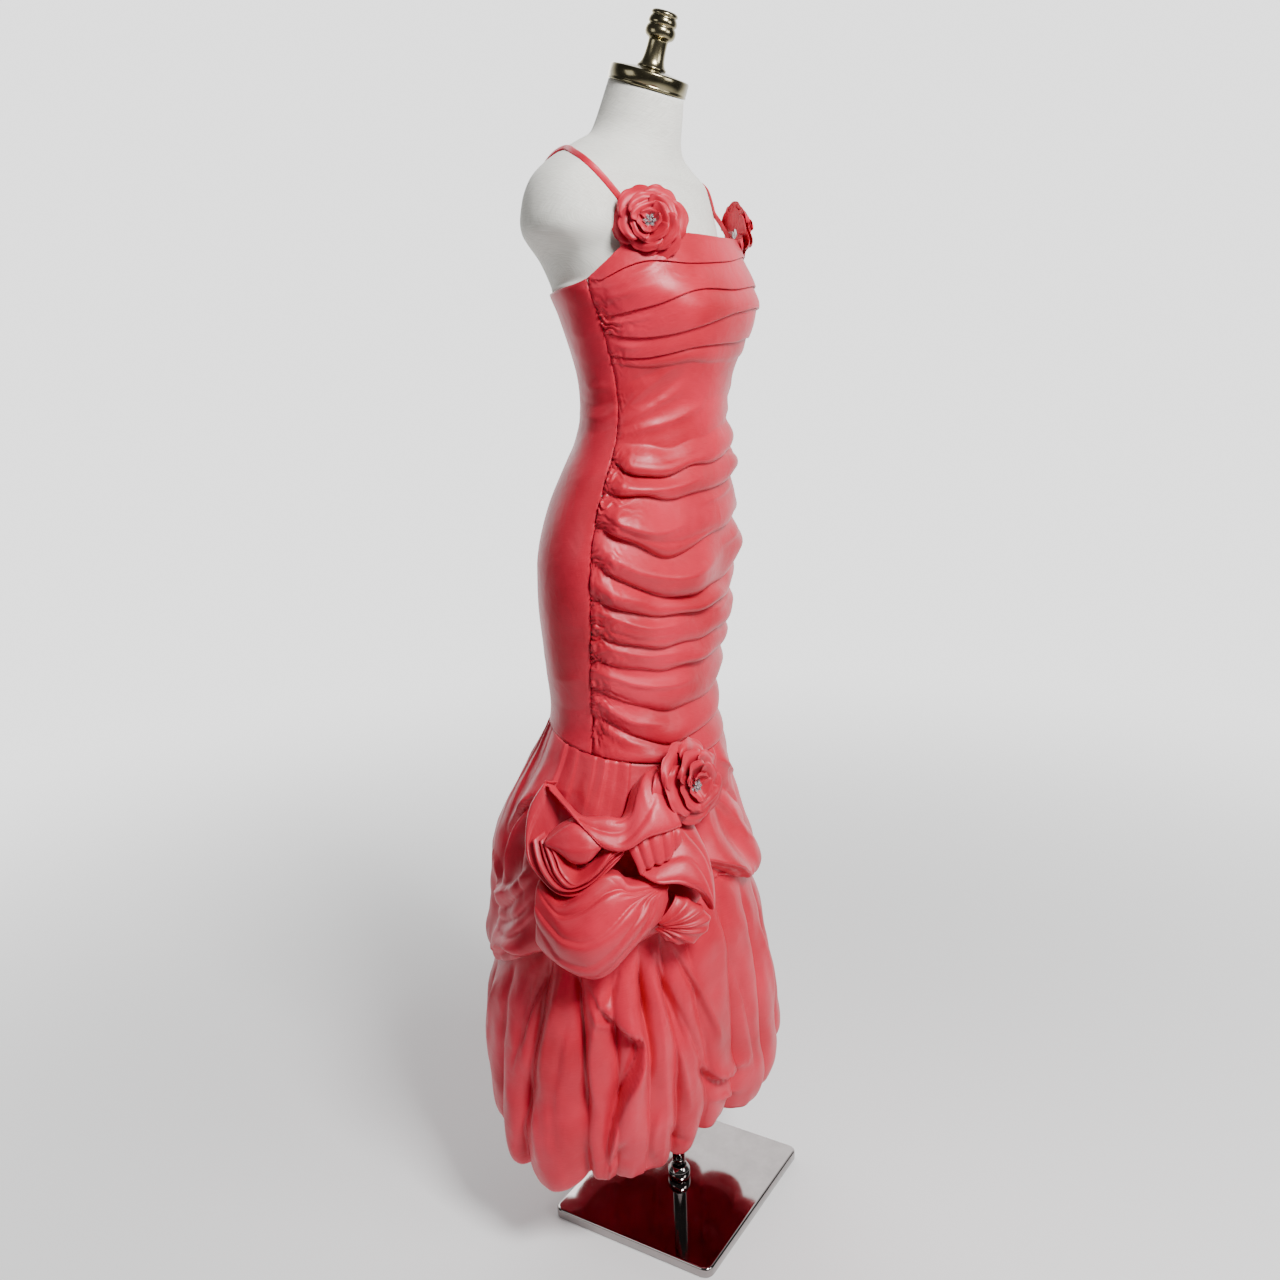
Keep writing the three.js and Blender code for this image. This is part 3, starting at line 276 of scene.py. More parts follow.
def connect(tree, shader, **sources):
    for key, source in sources.items():
        tree.links.new(source, shader.inputs[key.replace("_", " ")])


def texture(tree, kind, space, stretch=None, **values):  # space is Object or UV
    place = addNode(tree, "ShaderNodeTexCoord").outputs[space]
    if stretch:
        place = addNode(tree, "ShaderNodeMapping", Vector=place, Scale=stretch).outputs["Vector"]
    node = addNode(tree, "ShaderNodeTex" + kind, Vector=place, **values)
    return node.outputs["Color" if kind == "Voronoi" else "Fac"]


def colourRamp(tree, source, stops):
    ramp = addNode(tree, "ShaderNodeValToRGB", Fac=source)
    for index, (place, colour) in enumerate(stops):
        ramp.color_ramp.elements[index].position = place
        ramp.color_ramp.elements[index].color = (*colour, 1)
    return ramp.outputs["Color"]


def mapRange(tree, source, fromMin, fromMax, toMin=0.0, toMax=1.0, kind="LINEAR"):
    return addNode(tree, "ShaderNodeMapRange", interpolation_type=kind, Value=source, From_Min=fromMin,
                   From_Max=fromMax, To_Min=toMin, To_Max=toMax).outputs["Result"]


def bumps(tree, *layers):  # (height, strength, distance), from the broadest to the finest
    normal = None
    for height, strength, distance in layers:
        bump = addNode(tree, "ShaderNodeBump", Height=height, Strength=strength, Distance=distance)
        if normal:
            tree.links.new(normal, bump.inputs["Normal"])
        normal = bump.outputs["Normal"]
    return normal


satinLook = {"shade": (0.40, 0.006, 0.020), "light": (0.62, 0.018, 0.048), "roughness": 0.38,
             "sheen": 0.05, "crease": 0.5, "slub": 0.16, "thread": 0.05}


def makeSatin(name, look):
    material, tree, shader = newMaterial(
        name, Sheen_Weight=look["sheen"], Sheen_Roughness=0.38, Sheen_Tint=(1.0, 0.72, 0.74, 1),
        Specular_IOR_Level=0.5, Specular_Tint=(1.0, 0.62, 0.66, 1), Anisotropic=0.3)
    cloudy = texture(tree, "Noise", "Object", Scale=9.0, Detail=3.0, Roughness=0.5)
    slub = texture(tree, "Noise", "UV", (70.0, 1500.0, 1.0), Scale=1.0, Detail=2.0, Roughness=0.6)
    handled = texture(tree, "Noise", "Object", Scale=38.0, Detail=2.0, Roughness=0.45, Distortion=0.8)
    weave = texture(tree, "Wave", "UV", bands_direction="Y", Scale=900.0, Distortion=1.0, Detail=1.0)
    tone = addNode(tree, "ShaderNodeMath", slub, 0.35, cloudy, operation="MULTIPLY_ADD").outputs[0]
    connect(tree, shader, Base_Color=colourRamp(tree, tone, [(0.45, look["shade"]), (0.85, look["light"])]),
            Roughness=mapRange(tree, slub, 0.3, 0.7, look["roughness"] - 0.05, look["roughness"] + 0.07),
            Normal=bumps(tree, (handled, look["crease"], 0.0016), (slub, look["slub"], 0.0004),
                         (weave, look["thread"], 0.0002)))
    return material


def makeLinen():
    material, tree, shader = newMaterial(
        "offWhiteLinen", Roughness=0.88, Sheen_Weight=0.15, Sheen_Roughness=0.6, Specular_IOR_Level=0.25)
    warp = texture(tree, "Noise", "UV", (1100.0, 60.0, 1.0), Scale=1.0, Detail=2.0)
    weft = texture(tree, "Noise", "UV", (60.0, 1100.0, 1.0), Scale=1.0, Detail=2.0)
    both = addNode(tree, "ShaderNodeMath", warp, weft, operation="MULTIPLY").outputs[0]
    shades = [(0.12, (0.66, 0.645, 0.585)), (0.38, (0.87, 0.86, 0.80))]
    connect(tree, shader, Base_Color=colourRamp(tree, both, shades), Normal=bumps(tree, (both, 0.5, 0.0006)))
    return material


def makeMetal(name, dark, bright, roughness, smudge):
    material, tree, shader = newMaterial(name, Metallic=1.0)
    cloudy = texture(tree, "Noise", "Object", Scale=24.0, Detail=4.0, Roughness=0.6)
    scratch = texture(tree, "Noise", "Object", (30.0, 900.0, 900.0), Scale=1.0, Detail=1.0)
    connect(tree, shader, Base_Color=colourRamp(tree, cloudy, [(0.3, dark), (0.7, bright)]),
            Roughness=mapRange(tree, cloudy, 0.35, 0.75, roughness, roughness + smudge),
            Normal=bumps(tree, (scratch, 0.02, 0.0003)))
    return material


def makeStoneGlass():
    material, tree, shader = newMaterial(
        "cutStone", Metallic=0.75, Roughness=0.04, Specular_IOR_Level=0.8, Coat_Weight=0.6)
    cells = texture(tree, "Voronoi", "Object", Scale=420.0)
    connect(tree, shader, Base_Color=colourRamp(tree, cells, [(0.2, (0.36, 0.36, 0.38)), (0.8, (0.96, 0.96, 0.98))]))
    return material


def makeTape():
    material, tree, shader = newMaterial("zipTape", Roughness=0.7, Sheen_Weight=0.2)
    rib = texture(tree, "Wave", "UV", bands_direction="Y", Scale=420.0, Distortion=0.6)
    connect(tree, shader, Base_Color=colourRamp(tree, rib, [(0.0, (0.50, 0.04, 0.06)), (1.0, (0.66, 0.06, 0.09))]),
            Normal=bumps(tree, (rib, 0.5, 0.0004)))
    return material


satin = makeSatin("coralSatin", satinLook)
petalSatin = makeSatin("petalSatin", {**satinLook, "roughness": 0.42, "crease": 0.25})
linen = makeLinen()
brass = makeMetal("antiqueBrass", (0.16, 0.14, 0.085), (0.32, 0.28, 0.17), 0.14, 0.14)
mirrorSteel = makeMetal("mirrorSteel", (0.30, 0.275, 0.27), (0.38, 0.345, 0.34), 0.035, 0.06)
silver = makeMetal("silverClaw", (0.55, 0.55, 0.57), (0.75, 0.75, 0.78), 0.12, 0.1)
stone = makeStoneGlass()
tape = makeTape()
thread = makeSatin("coralThread", {**satinLook, "roughness": 0.6, "sheen": 0.1})
print("materials made")


# Camera, floor and lights

view = {"lens": 32.87, "around": -58.36, "distance": 1.5818, "aside": 0.0325, "height": 1.261,
        "tilt": 13.547, "roll": -1.986}


def makeCamera():
    a, t, r = (math.radians(view[key]) for key in ("around", "tilt", "roll"))
    back = Vector((math.sin(a), -math.cos(a), 0))
    right = Vector((math.cos(a), math.sin(a), 0))
    level = Vector((0, 0, 1))
    looking = -back * math.cos(t) - level * math.sin(t)
    up = -back * math.sin(t) + level * math.cos(t)
    rolledRight = right * math.cos(r) + up * math.sin(r)
    rolledUp = -right * math.sin(r) + up * math.cos(r)
    camera = bpy.data.objects.new("camera", bpy.data.cameras.new("camera"))
    camera.data.lens = view["lens"]
    camera.data.sensor_width = 36
    camera.data.clip_start = 0.05
    turned = Matrix((rolledRight, rolledUp, -looking)).transposed().to_4x4()
    turned.translation = back * view["distance"] - right * view["aside"] + level * view["height"]
    camera.matrix_world = turned
    bpy.context.scene.collection.objects.link(camera)
    bpy.context.scene.camera = camera


studio = {"front": 0.07, "behind": 2.2, "floor": (0.86, 0.86, 0.86), "floorHalf": 9000, "floorLevel": -0.4,
          "aim": (0, 0, 0.9), "towards": (0.851, 0.525, 0.0),
          "fadeFrom": 0.5, "fadeTo": 3.2,  # metres from the pole where the floor runs into the back
          "lamps": [{"name": "key", "around": -26, "away": 2.0, "height": 2.7, "size": 0.7, "power": 125},
                    {"name": "front", "around": 0, "away": 2.4, "height": 1.8, "size": 0.9, "power": 20},
                    {"name": "side", "around": -116, "away": 2.6, "height": 1.7, "size": 1.2, "power": 9},
                    {"name": "back", "around": 140, "away": 2.6, "height": 2.4, "size": 1.6, "power": 26}]}


def backLight(tree, direction):  # dim in front of the gown and bright behind it, but pale where it is seen
    facing = addNode(tree, "ShaderNodeVectorMath", direction, studio["towards"], operation="DOT_PRODUCT")
    bright = mapRange(tree, facing.outputs["Value"], 0.25, 0.85, studio["front"], studio["behind"], "SMOOTHSTEP")
    seen = addNode(tree, "ShaderNodeLightPath").outputs["Is Camera Ray"]
    return addNode(tree, "ShaderNodeMix", Factor=seen, A=bright, B=studio["behind"]).outputs["Result"]


def makeFloor():
    material, tree, shader = newMaterial("paleFloor", Base_Color=(*studio["floor"], 1), Roughness=0.7)
    place = addNode(tree, "ShaderNodeNewGeometry").outputs["Position"]
    level = addNode(tree, "ShaderNodeVectorMath", place, (1, 1, 0), operation="MULTIPLY").outputs["Vector"]
    away = addNode(tree, "ShaderNodeVectorMath", level, operation="LENGTH").outputs["Value"]
    outward = addNode(tree, "ShaderNodeVectorMath", level, operation="NORMALIZE").outputs["Vector"]
    glow = addNode(tree, "ShaderNodeEmission", Strength=backLight(tree, outward)).outputs["Emission"]
    fade = mapRange(tree, away, studio["fadeFrom"], studio["fadeTo"], kind="SMOOTHSTEP")
    blend = addNode(tree, "ShaderNodeMixShader", fade, shader.outputs["BSDF"], glow)
    tree.links.new(blend.outputs["Shader"], tree.nodes["Material Output"].inputs["Surface"])
    half = studio["floorHalf"]
    corners = [(x * half, y * half, studio["floorLevel"]) for x, y in ((-1, -1), (1, -1), (1, 1), (-1, 1))]
    makeMesh("floor", corners, [(0, 1, 2, 3)], material)


def makeStudio():
    world = bpy.data.worlds.new("studio")
    bpy.context.scene.world = world
    world.use_nodes = True
    tree = world.node_tree
    background = tree.nodes["Background"]
    background.inputs["Color"].default_value = (1, 1, 1, 1)
    around = addNode(tree, "ShaderNodeTexCoord").outputs["Generated"]
    tree.links.new(backLight(tree, around), background.inputs["Strength"])
    for lamp in studio["lamps"]:
        light = bpy.data.lights.new(lamp["name"], "AREA")
        light.size = lamp["size"]
        light.energy = lamp["power"]
        around = math.radians(lamp["around"])
        place = Vector((math.sin(around) * lamp["away"], -math.cos(around) * lamp["away"], lamp["height"]))
        holder = bpy.data.objects.new(lamp["name"], light)
        holder.location = place
        holder.rotation_mode = "QUATERNION"
        holder.rotation_quaternion = (place - Vector(studio["aim"])).to_track_quat("Z", "Y")
        bpy.context.scene.collection.objects.link(holder)


makeCamera()
makeFloor()
makeStudio()
print("camera, floor and lights made")


# Stand: mirror plate with folded edges, collar and pole

stand = {"plateWidth": 304, "plateDepth": 267, "plateHeight": 15, "corner": 14, "edge": 4,
         "poleRadius": 10, "collarRadius": 17, "collarHeight": 22, "gap": 0.5, "formBottom": 880}


def lathe(name, profile, segments, material, place=Matrix.Identity(4)):  # profile: (radius, height)
    points, faces, rows = [], [], []
    for radius, height in profile:
        if radius < 1e-6:
            rows.append([len(points)])
            points.append((0, 0, height))
            continue
        rows.append(list(range(len(points), len(points) + segments)))
        for k in range(segments):
            turn = 2 * math.pi * k / segments
            points.append((radius * math.cos(turn), radius * math.sin(turn), height))
    for low, high in zip(rows, rows[1:]):
        for k in range(segments):
            ring = [low[k % len(low)], low[(k + 1) % len(low)], high[(k + 1) % len(high)], high[k % len(high)]]
            kept = list(dict.fromkeys(ring))
            if len(kept) > 2:
                faces.append(kept)
    placed = [place @ Vector(point) for point in points]
    return makeMesh(name, placed, faces, material)


def roundedOutline(width, depth, corner, steps=8):
    points = []
    for cx, cy, start in ((1, -1, -90), (1, 1, 0), (-1, 1, 90), (-1, -1, 180)):
        for k in range(steps + 1):
            turn = math.radians(start + 90 * k / steps)
            points.append((cx * (width / 2 - corner) + corner * math.cos(turn),
                           cy * (depth / 2 - corner) + corner * math.sin(turn)))
    return points


def makeStand():
    size = stand
    layers = [(0.0, 1.2), (0.4, 0.3), (1.2, 0.0)]  # height and inset of each outline, from below
    for k in range(7):
        turn = math.radians(15 * k)
        layers.append((size["plateHeight"] - size["edge"] + size["edge"] * math.sin(turn),
                       size["edge"] * (1 - math.cos(turn))))
    points, count = [], 0
    for height, inset in layers:
        outline = roundedOutline(size["plateWidth"] - 2 * inset, size["plateDepth"] - 2 * inset,
                                 size["corner"] - inset)
        count = len(outline)
        points += [(x, y, height) for x, y in outline]
    faces = [(layer * count + k, layer * count + (k + 1) % count,
              (layer + 1) * count + (k + 1) % count, (layer + 1) * count + k)
             for layer in range(len(layers) - 1) for k in range(count)]
    faces.append(tuple(reversed(range(count))))
    faces.append(tuple(range((len(layers) - 1) * count, len(layers) * count)))
    plate = makeMesh("mirrorPlate", points, faces, mirrorSteel)
    for polygon in list(plate.data.polygons)[-2:]:
        polygon.use_smooth = False
    finishPiece(plate, "mirror_steel", "base_plate")

    low = size["plateHeight"] + size["gap"]
    high = low + size["collarHeight"]
    bore, wide = size["poleRadius"] + size["gap"], size["collarRadius"]
    collar = [(bore, low), (wide - 0.8, low), (wide, low + 0.8), (wide, high - 6.5), (wide - 0.6, high - 5.6),
              (wide - 3.6, high - 0.8), (wide - 4.6, high), (bore, high), (bore, low)]
    finishPiece(lathe("poleCollar", collar, 64, mirrorSteel), "mirror_steel", "pole_collar")
    top = size["formBottom"] - size["gap"]
    pole = [(0, low), (size["poleRadius"] - 0.5, low), (size["poleRadius"], low + 0.5),
            (size["poleRadius"], top - 0.5), (size["poleRadius"] - 0.5, top), (0, top)]
    finishPiece(lathe("polePolished", pole, 64, mirrorSteel), "mirror_steel", "pole")


def finishPiece(piece, slotName, *nodes):
    if nodes:
        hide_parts(*nodes)
    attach(piece, "root")
    return piece


makeStand()
print("stand made")


# Form: torso with capped shoulders, neck cap and turned finial

torso = {
    "innerHeights": [880, 925, 965, 1000, 1040, 1080, 1120, 1155, 1190, 1235, 1275, 1310], "inset": 4.4,
    "frontUp": [1345, 1374, 1400, 1426, 1450, 1468, 1478, 1486, 1495, 1506, 1522, 1546, 1569.5],
    "sideUp": [1345, 1360, 1387, 1415, 1446, 1472, 1488, 1500, 1511, 1524, 1540, 1563, 1587],
    "backUp": [1345, 1352, 1380, 1412, 1448, 1480, 1504, 1522, 1534, 1542, 1556, 1580, 1604.5],
    "side": [146, 141, 136, 152, 156, 152, 143, 124, 98, 71, 57, 51, 48],
    "front": [113, 98, 87, 79, 70, 63, 59, 55, 52, 51, 51, 49, 46],
    "back": [116, 117, 120, 117, 108, 96, 83, 70, 61, 57, 55, 51, 46],
    "centre": [4, 8, 13, 18, 20, 20, 18, 17, 16, 15, 13, 7, 1],
    "bust": [9, 4, 0, 0, 0, 0, 0, 0, 0, 0, 0, 0, 0],
    "cap": [0, 0, 16, 30, 28, 22, 12, 4, 0, 0, 0, 0, 0],
    "columns": 144, "rowsPerRing": 6}
shoulderSeam = [(104, 1345), (98, 1400), (84, 1440), (72, 1475), (68, 1500)]
backSeam = [(122, 1345), (128, 1400), (134, 1450), (138, 1490), (140, 1512)]
formSeams = [([(side * around, up) for around, up in path], depth, 1.1, 1.1)  # sunk seams of the cover
             for path, depth in ((shoulderSeam, -0.9), (backSeam, -0.8)) for side in (-1, 1)]


def torsoGrid():
    around = np.arange(torso["columns"]) * 360 / torso["columns"]
    rings = [gownPoint(around, np.full(around.shape, float(height)), -torso["inset"])
             for height in torso["innerHeights"]]
    forward = np.cos(np.radians(around))
    for k in range(len(torso["frontUp"])):
        section = {key: torso[key][k] for key in ("side", "front", "back", "centre", "bust", "cap")}
        end = np.where(forward > 0, torso["frontUp"][k], torso["backUp"][k])
        rings.append(ovalPoint(section, around, mix(torso["sideUp"][k], end, np.abs(forward)), 0))
    rings = np.stack(rings)
    at = np.linspace(0, len(rings) - 1, (len(rings) - 1) * torso["rowsPerRing"] + 1)
    keys = np.arange(len(rings))
    grid = np.empty((len(at), len(around), 3))
    for column in range(len(around)):
        for axis in range(3):
            grid[:, column, axis] = curveThrough(keys, rings[:, column, axis], at)
    grid[-1] = rings[-1]
    normals = -gridNormals(grid, True)
    angles = np.broadcast_to(wrapAngle(around), grid.shape[:2])
    return grid + normals * foldLines(angles, grid[..., 2], formSeams, 2.2)[..., None]


def makeForm():
    grid = torsoGrid()
    rows, columns = grid.shape[:2]
    points = grid.reshape(-1, 3)
    r, c = np.meshgrid(np.arange(rows - 1), np.arange(columns), indexing="ij")
    r, c = r.ravel(), c.ravel()
    after = (c + 1) % columns
    faces = np.stack([r * columns + c, r * columns + after,
                      (r + 1) * columns + after, (r + 1) * columns + c], 1).tolist()
    faces.append(list(reversed(range(columns))))
    faces.append(list(range((rows - 1) * columns, rows * columns)))
    lengths = clothLengths(grid[::-1])[::-1].reshape(-1, 2)
    form = makeMesh("dressForm", points, faces, linen, lengths)
    for polygon in list(form.data.polygons)[-2:]:
        polygon.use_smooth = False
    finishPiece(form, "linen", "form_torso")
    quads = [tuple(f) for f in faces[:-2]]
    return BVHTree.FromPolygons([Vector(p) for p in points], quads)


neck = {"tilt": 20, "top": 1587.5, "forward": 1, "gap": 0.5, "capRadius": 50.5, "capHeight": 18, "dome": 5}
finialTurning = [  # (radius, height) of the turned finial, from its flared foot up
    (0, 0), (18.4, 0), (19, 0.6), (18.8, 1.8), (17.2, 3.2), (15.0, 6.5), (13.7, 11), (12.9, 17), (12.4, 24),
    (12.3, 31),
    (12.9, 33), (15.6, 34.4), (17.9, 36.2), (19.0, 38.8), (19.4, 42), (18.9, 45), (17.6, 47.4), (16.6, 48.4),
    (16.5, 49.1), (17.6, 49.9), (18.2, 51.6), (18.1, 54), (17.2, 56.6), (16.0, 58.4), (15.4, 59.1),
    (15.6, 59.8), (16.6, 60.5), (16.9, 61.8), (16.3, 63.4), (14.6, 64.9), (12, 65.7), (9, 66), (0, 66)]


def makeNeckFittings():
    place = Matrix.Translation((0, neck["forward"], neck["top"]))
    place = place @ Matrix.Rotation(math.radians(neck["tilt"]), 4, "X")
    wide, high, gap = neck["capRadius"], neck["capHeight"], neck["gap"]
    dome = gap + high + neck["dome"]
    cap = [(0, gap), (wide - 0.8, gap), (wide, gap + 0.8), (wide, gap + 3), (wide - 0.35, gap + 3.3),
           (wide - 0.35, gap + 3.9), (wide, gap + 4.2), (wide, high - 1), (wide - 0.7, high + 0.6),
           (wide - 2, high + 1.4), (wide - 8, high + 2.2), (30, high + 3.8), (20, dome), (0, dome)]
    finishPiece(lathe("neckCap", cap, 96, brass, place), "antique_brass", "neck_cap")
    turning = [(radius, dome + gap + height) for radius, height in finialTurning]
    finishPiece(lathe("turnedFinial", turning, 64, brass, place), "antique_brass", "finial")


formTree = makeForm()
makeNeckFittings()
print("form, cap and finial made")


# Front panel: pleated over the bust, smooth at the ribs, gathered from the waist to the knee

frontPanel = {
    "around": [-80, -55, -30, 0, 38, 80],
    "creases": [  # height of each crease at those six angles, top to bottom
        [1354, 1373, 1371, 1376, 1386, 1362], [1312, 1322, 1340, 1342, 1348, 1324],
        [1290, 1286, 1297, 1314, 1320, 1300], [1264, 1264, 1273, 1276, 1284, 1272],
        [1252, 1250, 1254, 1253, 1258, 1256], [1208, 1206, 1208, 1210, 1214, 1212],
        [1159, 1155, 1153, 1166, 1180, 1178], [1138, 1118, 1124, 1131, 1147, 1150],
        [1100, 1094, 1088, 1094, 1107, 1112], [1060, 1040, 1013, 1030, 1046, 1062],
        [1022, 990, 962, 960, 981, 1008], [976, 950, 936, 937, 946, 962],
        [924, 904, 894, 892, 900, 916], [884, 872, 862, 860, 866, 880],
        [846, 820, 800, 802, 815, 836], [806, 775, 758, 762, 775, 792]],
    # how far each band stands out, and how deep its seam gathers are, from the top edge down
    "rise": [2.8, 3.6, 4.0, 3.8, 2.2, 0.6, 0.8, 8, 7.5, 9.5, 10.5, 9.5, 8.5, 6.5, 7.5, 7.5, 5],
    "gathers": [0.8, 2.2, 2.4, 2.0, 1.4, 0.8, 1.2, 3.4, 3.6, 3.8, 3.8, 3.6, 3.8, 3.4, 3.8, 3.8, 3.4],
    "pleats": 4,  # how many of the first bands are crisp pleats
    "pleatEdge": [0.93, 0.955, 0.975, 0.988, 0.996],  # rows close together at a pleat's folded edge
    "sway": 2.6, "strokes": 1.35, "seamFlat": 16, "gatherEvery": 8.5, "gatherReach": 34,
    "pucker": 0.45, "puckerEvery": 4.6, "puckerReach": 11, "seamDip": 1.3, "seamWidth": 3.2,
    "columns": 118, "rowHeight": 2.1, "wall": 1.0, "degree": 2.35}  # degree: millimetres to a degree
frontFolds = [  # soft diagonals over the ribs and long secondary folds below
    ([(-80, 1196), (-66, 1216), (-50, 1238), (-38, 1252)], 2.2, 7, 5),
    ([(-81, 1180), (-66, 1192), (-48, 1208), (-32, 1226)], 2.6, 9, 6),
    ([(-81, 1168), (-62, 1176), (-40, 1184), (-16, 1200)], 2.4, 8, 6),
    ([(-72, 1232), (-60, 1240), (-48, 1246)], -1.2, 4, 5), ([(-60, 1204), (-46, 1222), (-34, 1240)], -1.8, 6, 6),
    ([(80, 1200), (64, 1216), (50, 1236), (40, 1250)], 2.0, 5, 7),
    ([(80, 1184), (62, 1196), (44, 1212), (30, 1230)], 2.4, 6, 8), ([(80, 1170), (56, 1180), (30, 1196)], 2.0, 6, 8),
    ([(-78, 1342), (-64, 1352), (-50, 1368), (-40, 1384)], 1.6, 5, 3),
    ([(-80, 1330), (-66, 1336), (-52, 1346)], 1.4, 4, 3), ([(-80, 1302), (-68, 1304), (-56, 1310)], 1.3, 4, 3),
    ([(-80, 1278), (-70, 1274), (-60, 1275)], 1.2, 3, 3), ([(76, 1346), (62, 1356), (50, 1372)], 1.4, 3, 5),
    ([(78, 1316), (66, 1322), (54, 1330)], 1.3, 3, 4),
    ([(-72, 1144), (-50, 1136), (-30, 1140), (-8, 1148)], -2.2, 5, 4),
    ([(-74, 1112), (-52, 1104), (-34, 1104), (-12, 1112)], 2.2, 5, 4),
    ([(-74, 1084), (-60, 1064), (-40, 1050), (-20, 1056)], 2.6, 7, 4),
    ([(-70, 1072), (-54, 1052), (-30, 1036), (0, 1046)], -2.4, 5, 4),
    ([(-74, 1040), (-60, 1018), (-42, 996), (-20, 988), (6, 1002)], 3.0, 8, 5),
    ([(-72, 1006), (-58, 988), (-40, 972), (-18, 970)], -2.2, 5, 4),
    ([(-74, 990), (-60, 972), (-44, 962)], 2.2, 6, 4), ([(-74, 956), (-58, 938), (-40, 924), (-16, 922)], 2.4, 6, 4),
    ([(-74, 938), (-62, 926), (-46, 912), (-26, 908)], -2.2, 4, 4),
    ([(-76, 910), (-60, 896), (-40, 884), (-20, 882)], 2.0, 5, 4),
    ([(-76, 870), (-62, 858), (-48, 846), (-30, 838), (-8, 838)], 2.6, 6, 4),
    ([(-78, 858), (-66, 842), (-52, 826)], -2.0, 4, 4),
    ([(-78, 830), (-66, 812), (-52, 794), (-34, 786)], 2.4, 6, 4),
    ([(-78, 818), (-68, 800), (-56, 784)], -2.0, 4, 4),
    ([(-78, 794), (-66, 778), (-52, 764), (-34, 756)], 2.2, 6, 4),
    ([(-79, 782), (-68, 768), (-58, 756), (-40, 746)], -1.8, 4, 4),
    ([(72, 1140), (50, 1132), (28, 1134), (8, 1144)], -2.2, 4, 5), ([(74, 1090), (56, 1070), (34, 1056)], 2.6, 4, 7),
    ([(72, 1044), (54, 1020), (30, 1000)], 2.8, 5, 8), ([(72, 996), (52, 978), (28, 968)], -2.2, 4, 5),
    ([(74, 950), (54, 932), (30, 922)], 2.4, 4, 6), ([(74, 900), (54, 888), (34, 880)], 2.0, 4, 5),
    ([(74, 862), (58, 844), (38, 832)], 2.4, 4, 6), ([(76, 820), (60, 800), (40, 786)], 2.2, 4, 6),
    ([(77, 792), (62, 776), (46, 762)], -1.8, 4, 4), ([(10, 1012), (24, 1018), (40, 1030)], 2.0, 6, 4),
    ([(-6, 930), (12, 926), (30, 934)], 1.8, 5, 4), ([(-30, 872), (-8, 868), (14, 872)], 1.6, 5, 4),
    ([(-12, 1076), (8, 1082), (26, 1092)], 2.0, 6, 4)]


def creaseHeight(index, angle):
    if index < 0:
        return topHeight(angle)
    if index >= len(frontPanel["creases"]):
        return kneeHeight(angle) + 0.2
    sway = wander(np.asarray(angle) * frontPanel["degree"], 40.0 * index, 51, 75) * ease(0, 7, index)
    return curveThrough(frontPanel["around"], frontPanel["creases"][index], angle) + frontPanel["sway"] * sway


def frontGrid():
    even = np.linspace(-1, 1, frontPanel["columns"] + 1)
    share = mix(even, np.sin(even * math.pi / 2), 0.6)
    side = np.where(share < 0, -1, 1)
    lines = []
    bands = len(frontPanel["creases"]) + 1
    for band in range(bands):
        middle = float(creaseHeight(band - 1, np.array(-30.0)) - creaseHeight(band, np.array(-30.0)))
        count = max(7, round(middle / frontPanel["rowHeight"]))
        steps = np.arange(count) / count
        if band < frontPanel["pleats"]:
            folded = frontPanel["pleatEdge"]
            steps = np.concatenate([steps[steps < folded[0]], folded])
        for t in steps:
            lines.append(frontRow(band, t, share, side))
    lines.append(frontRow(bands - 1, 1.0, share, side))
    return np.stack(lines)


def frontRow(band, t, share, side):
    def heightAt(angle):
        return mix(creaseHeight(band - 1, angle), creaseHeight(band, angle), t)
    spread = seamCrossing(lambda around: heightAt(side * around), share.shape) - 0.1
    angle = spread * share
    height = heightAt(angle)
    fromSeam = (spread - np.abs(angle)) * frontPanel["degree"]
    nearSeam = (fromSeam / (frontPanel["seamFlat"] * frontPanel["degree"])) ** 2
    rise = frontPanel["rise"][band]
    if band < frontPanel["pleats"]:
        swell = rise * (0.05 + 0.95 * ease(0, 0.93, t) ** 0.8) * (1 - ease(0.966, 0.997, t))
        hang = 2.2 * ease(0.8, 0.96, t) * (1 - 0.9 * ease(0.975, 1, t))
    else:
        uneven = 1.15 + 0.45 * wander(angle, height * 0 + band * 37, 11 + band, 60)
        swell = rise * uneven * math.sin(math.pi * t ** 1.5) ** 0.85
        hang = 0.55 * rise * math.sin(math.pi * t ** 3.2)
    out = swell * np.minimum(1, 0.35 + nearSeam)
    place = height / frontPanel["gatherEvery"] + 0.9 * wander(angle * 3, height, 5, 36) + side
    sharp = 1 - 2 * np.abs(np.sin(math.pi * place)) ** 0.8
    strength = 0.6 + 0.5 * wander(angle * 0, height, 6, 44)
    gathered = np.exp(-(fromSeam / frontPanel["gatherReach"]) ** 1.4)
    out = out + frontPanel["gathers"][band] * strength * sharp * gathered
    turn = height * 2 * math.pi / frontPanel["puckerEvery"] + 5 * wander(angle * 0, height, 8, 30)
    out = out + frontPanel["pucker"] * np.exp(-(fromSeam / frontPanel["puckerReach"]) ** 2) * np.sin(turn)
    out = out - frontPanel["seamDip"] * np.exp(-(fromSeam / frontPanel["seamWidth"]) ** 2)
    out = out + frontPanel["strokes"] * foldLines(angle, height, frontFolds, frontPanel["degree"])
    out = out + 0.5 * np.exp(-((topHeight(angle) - height) / 3) ** 2)
    return gownPoint(angle, height - hang * np.minimum(1, nearSeam * 3), out)


def makeFrontPanel():
    panel = makeCloth("frontPanel", frontGrid(), frontPanel["wall"], False, satin)
    return finishPiece(panel, "satin", "front_panel")


# Back panels, smooth, with a few pulls at the waist; the closed zip lies between them

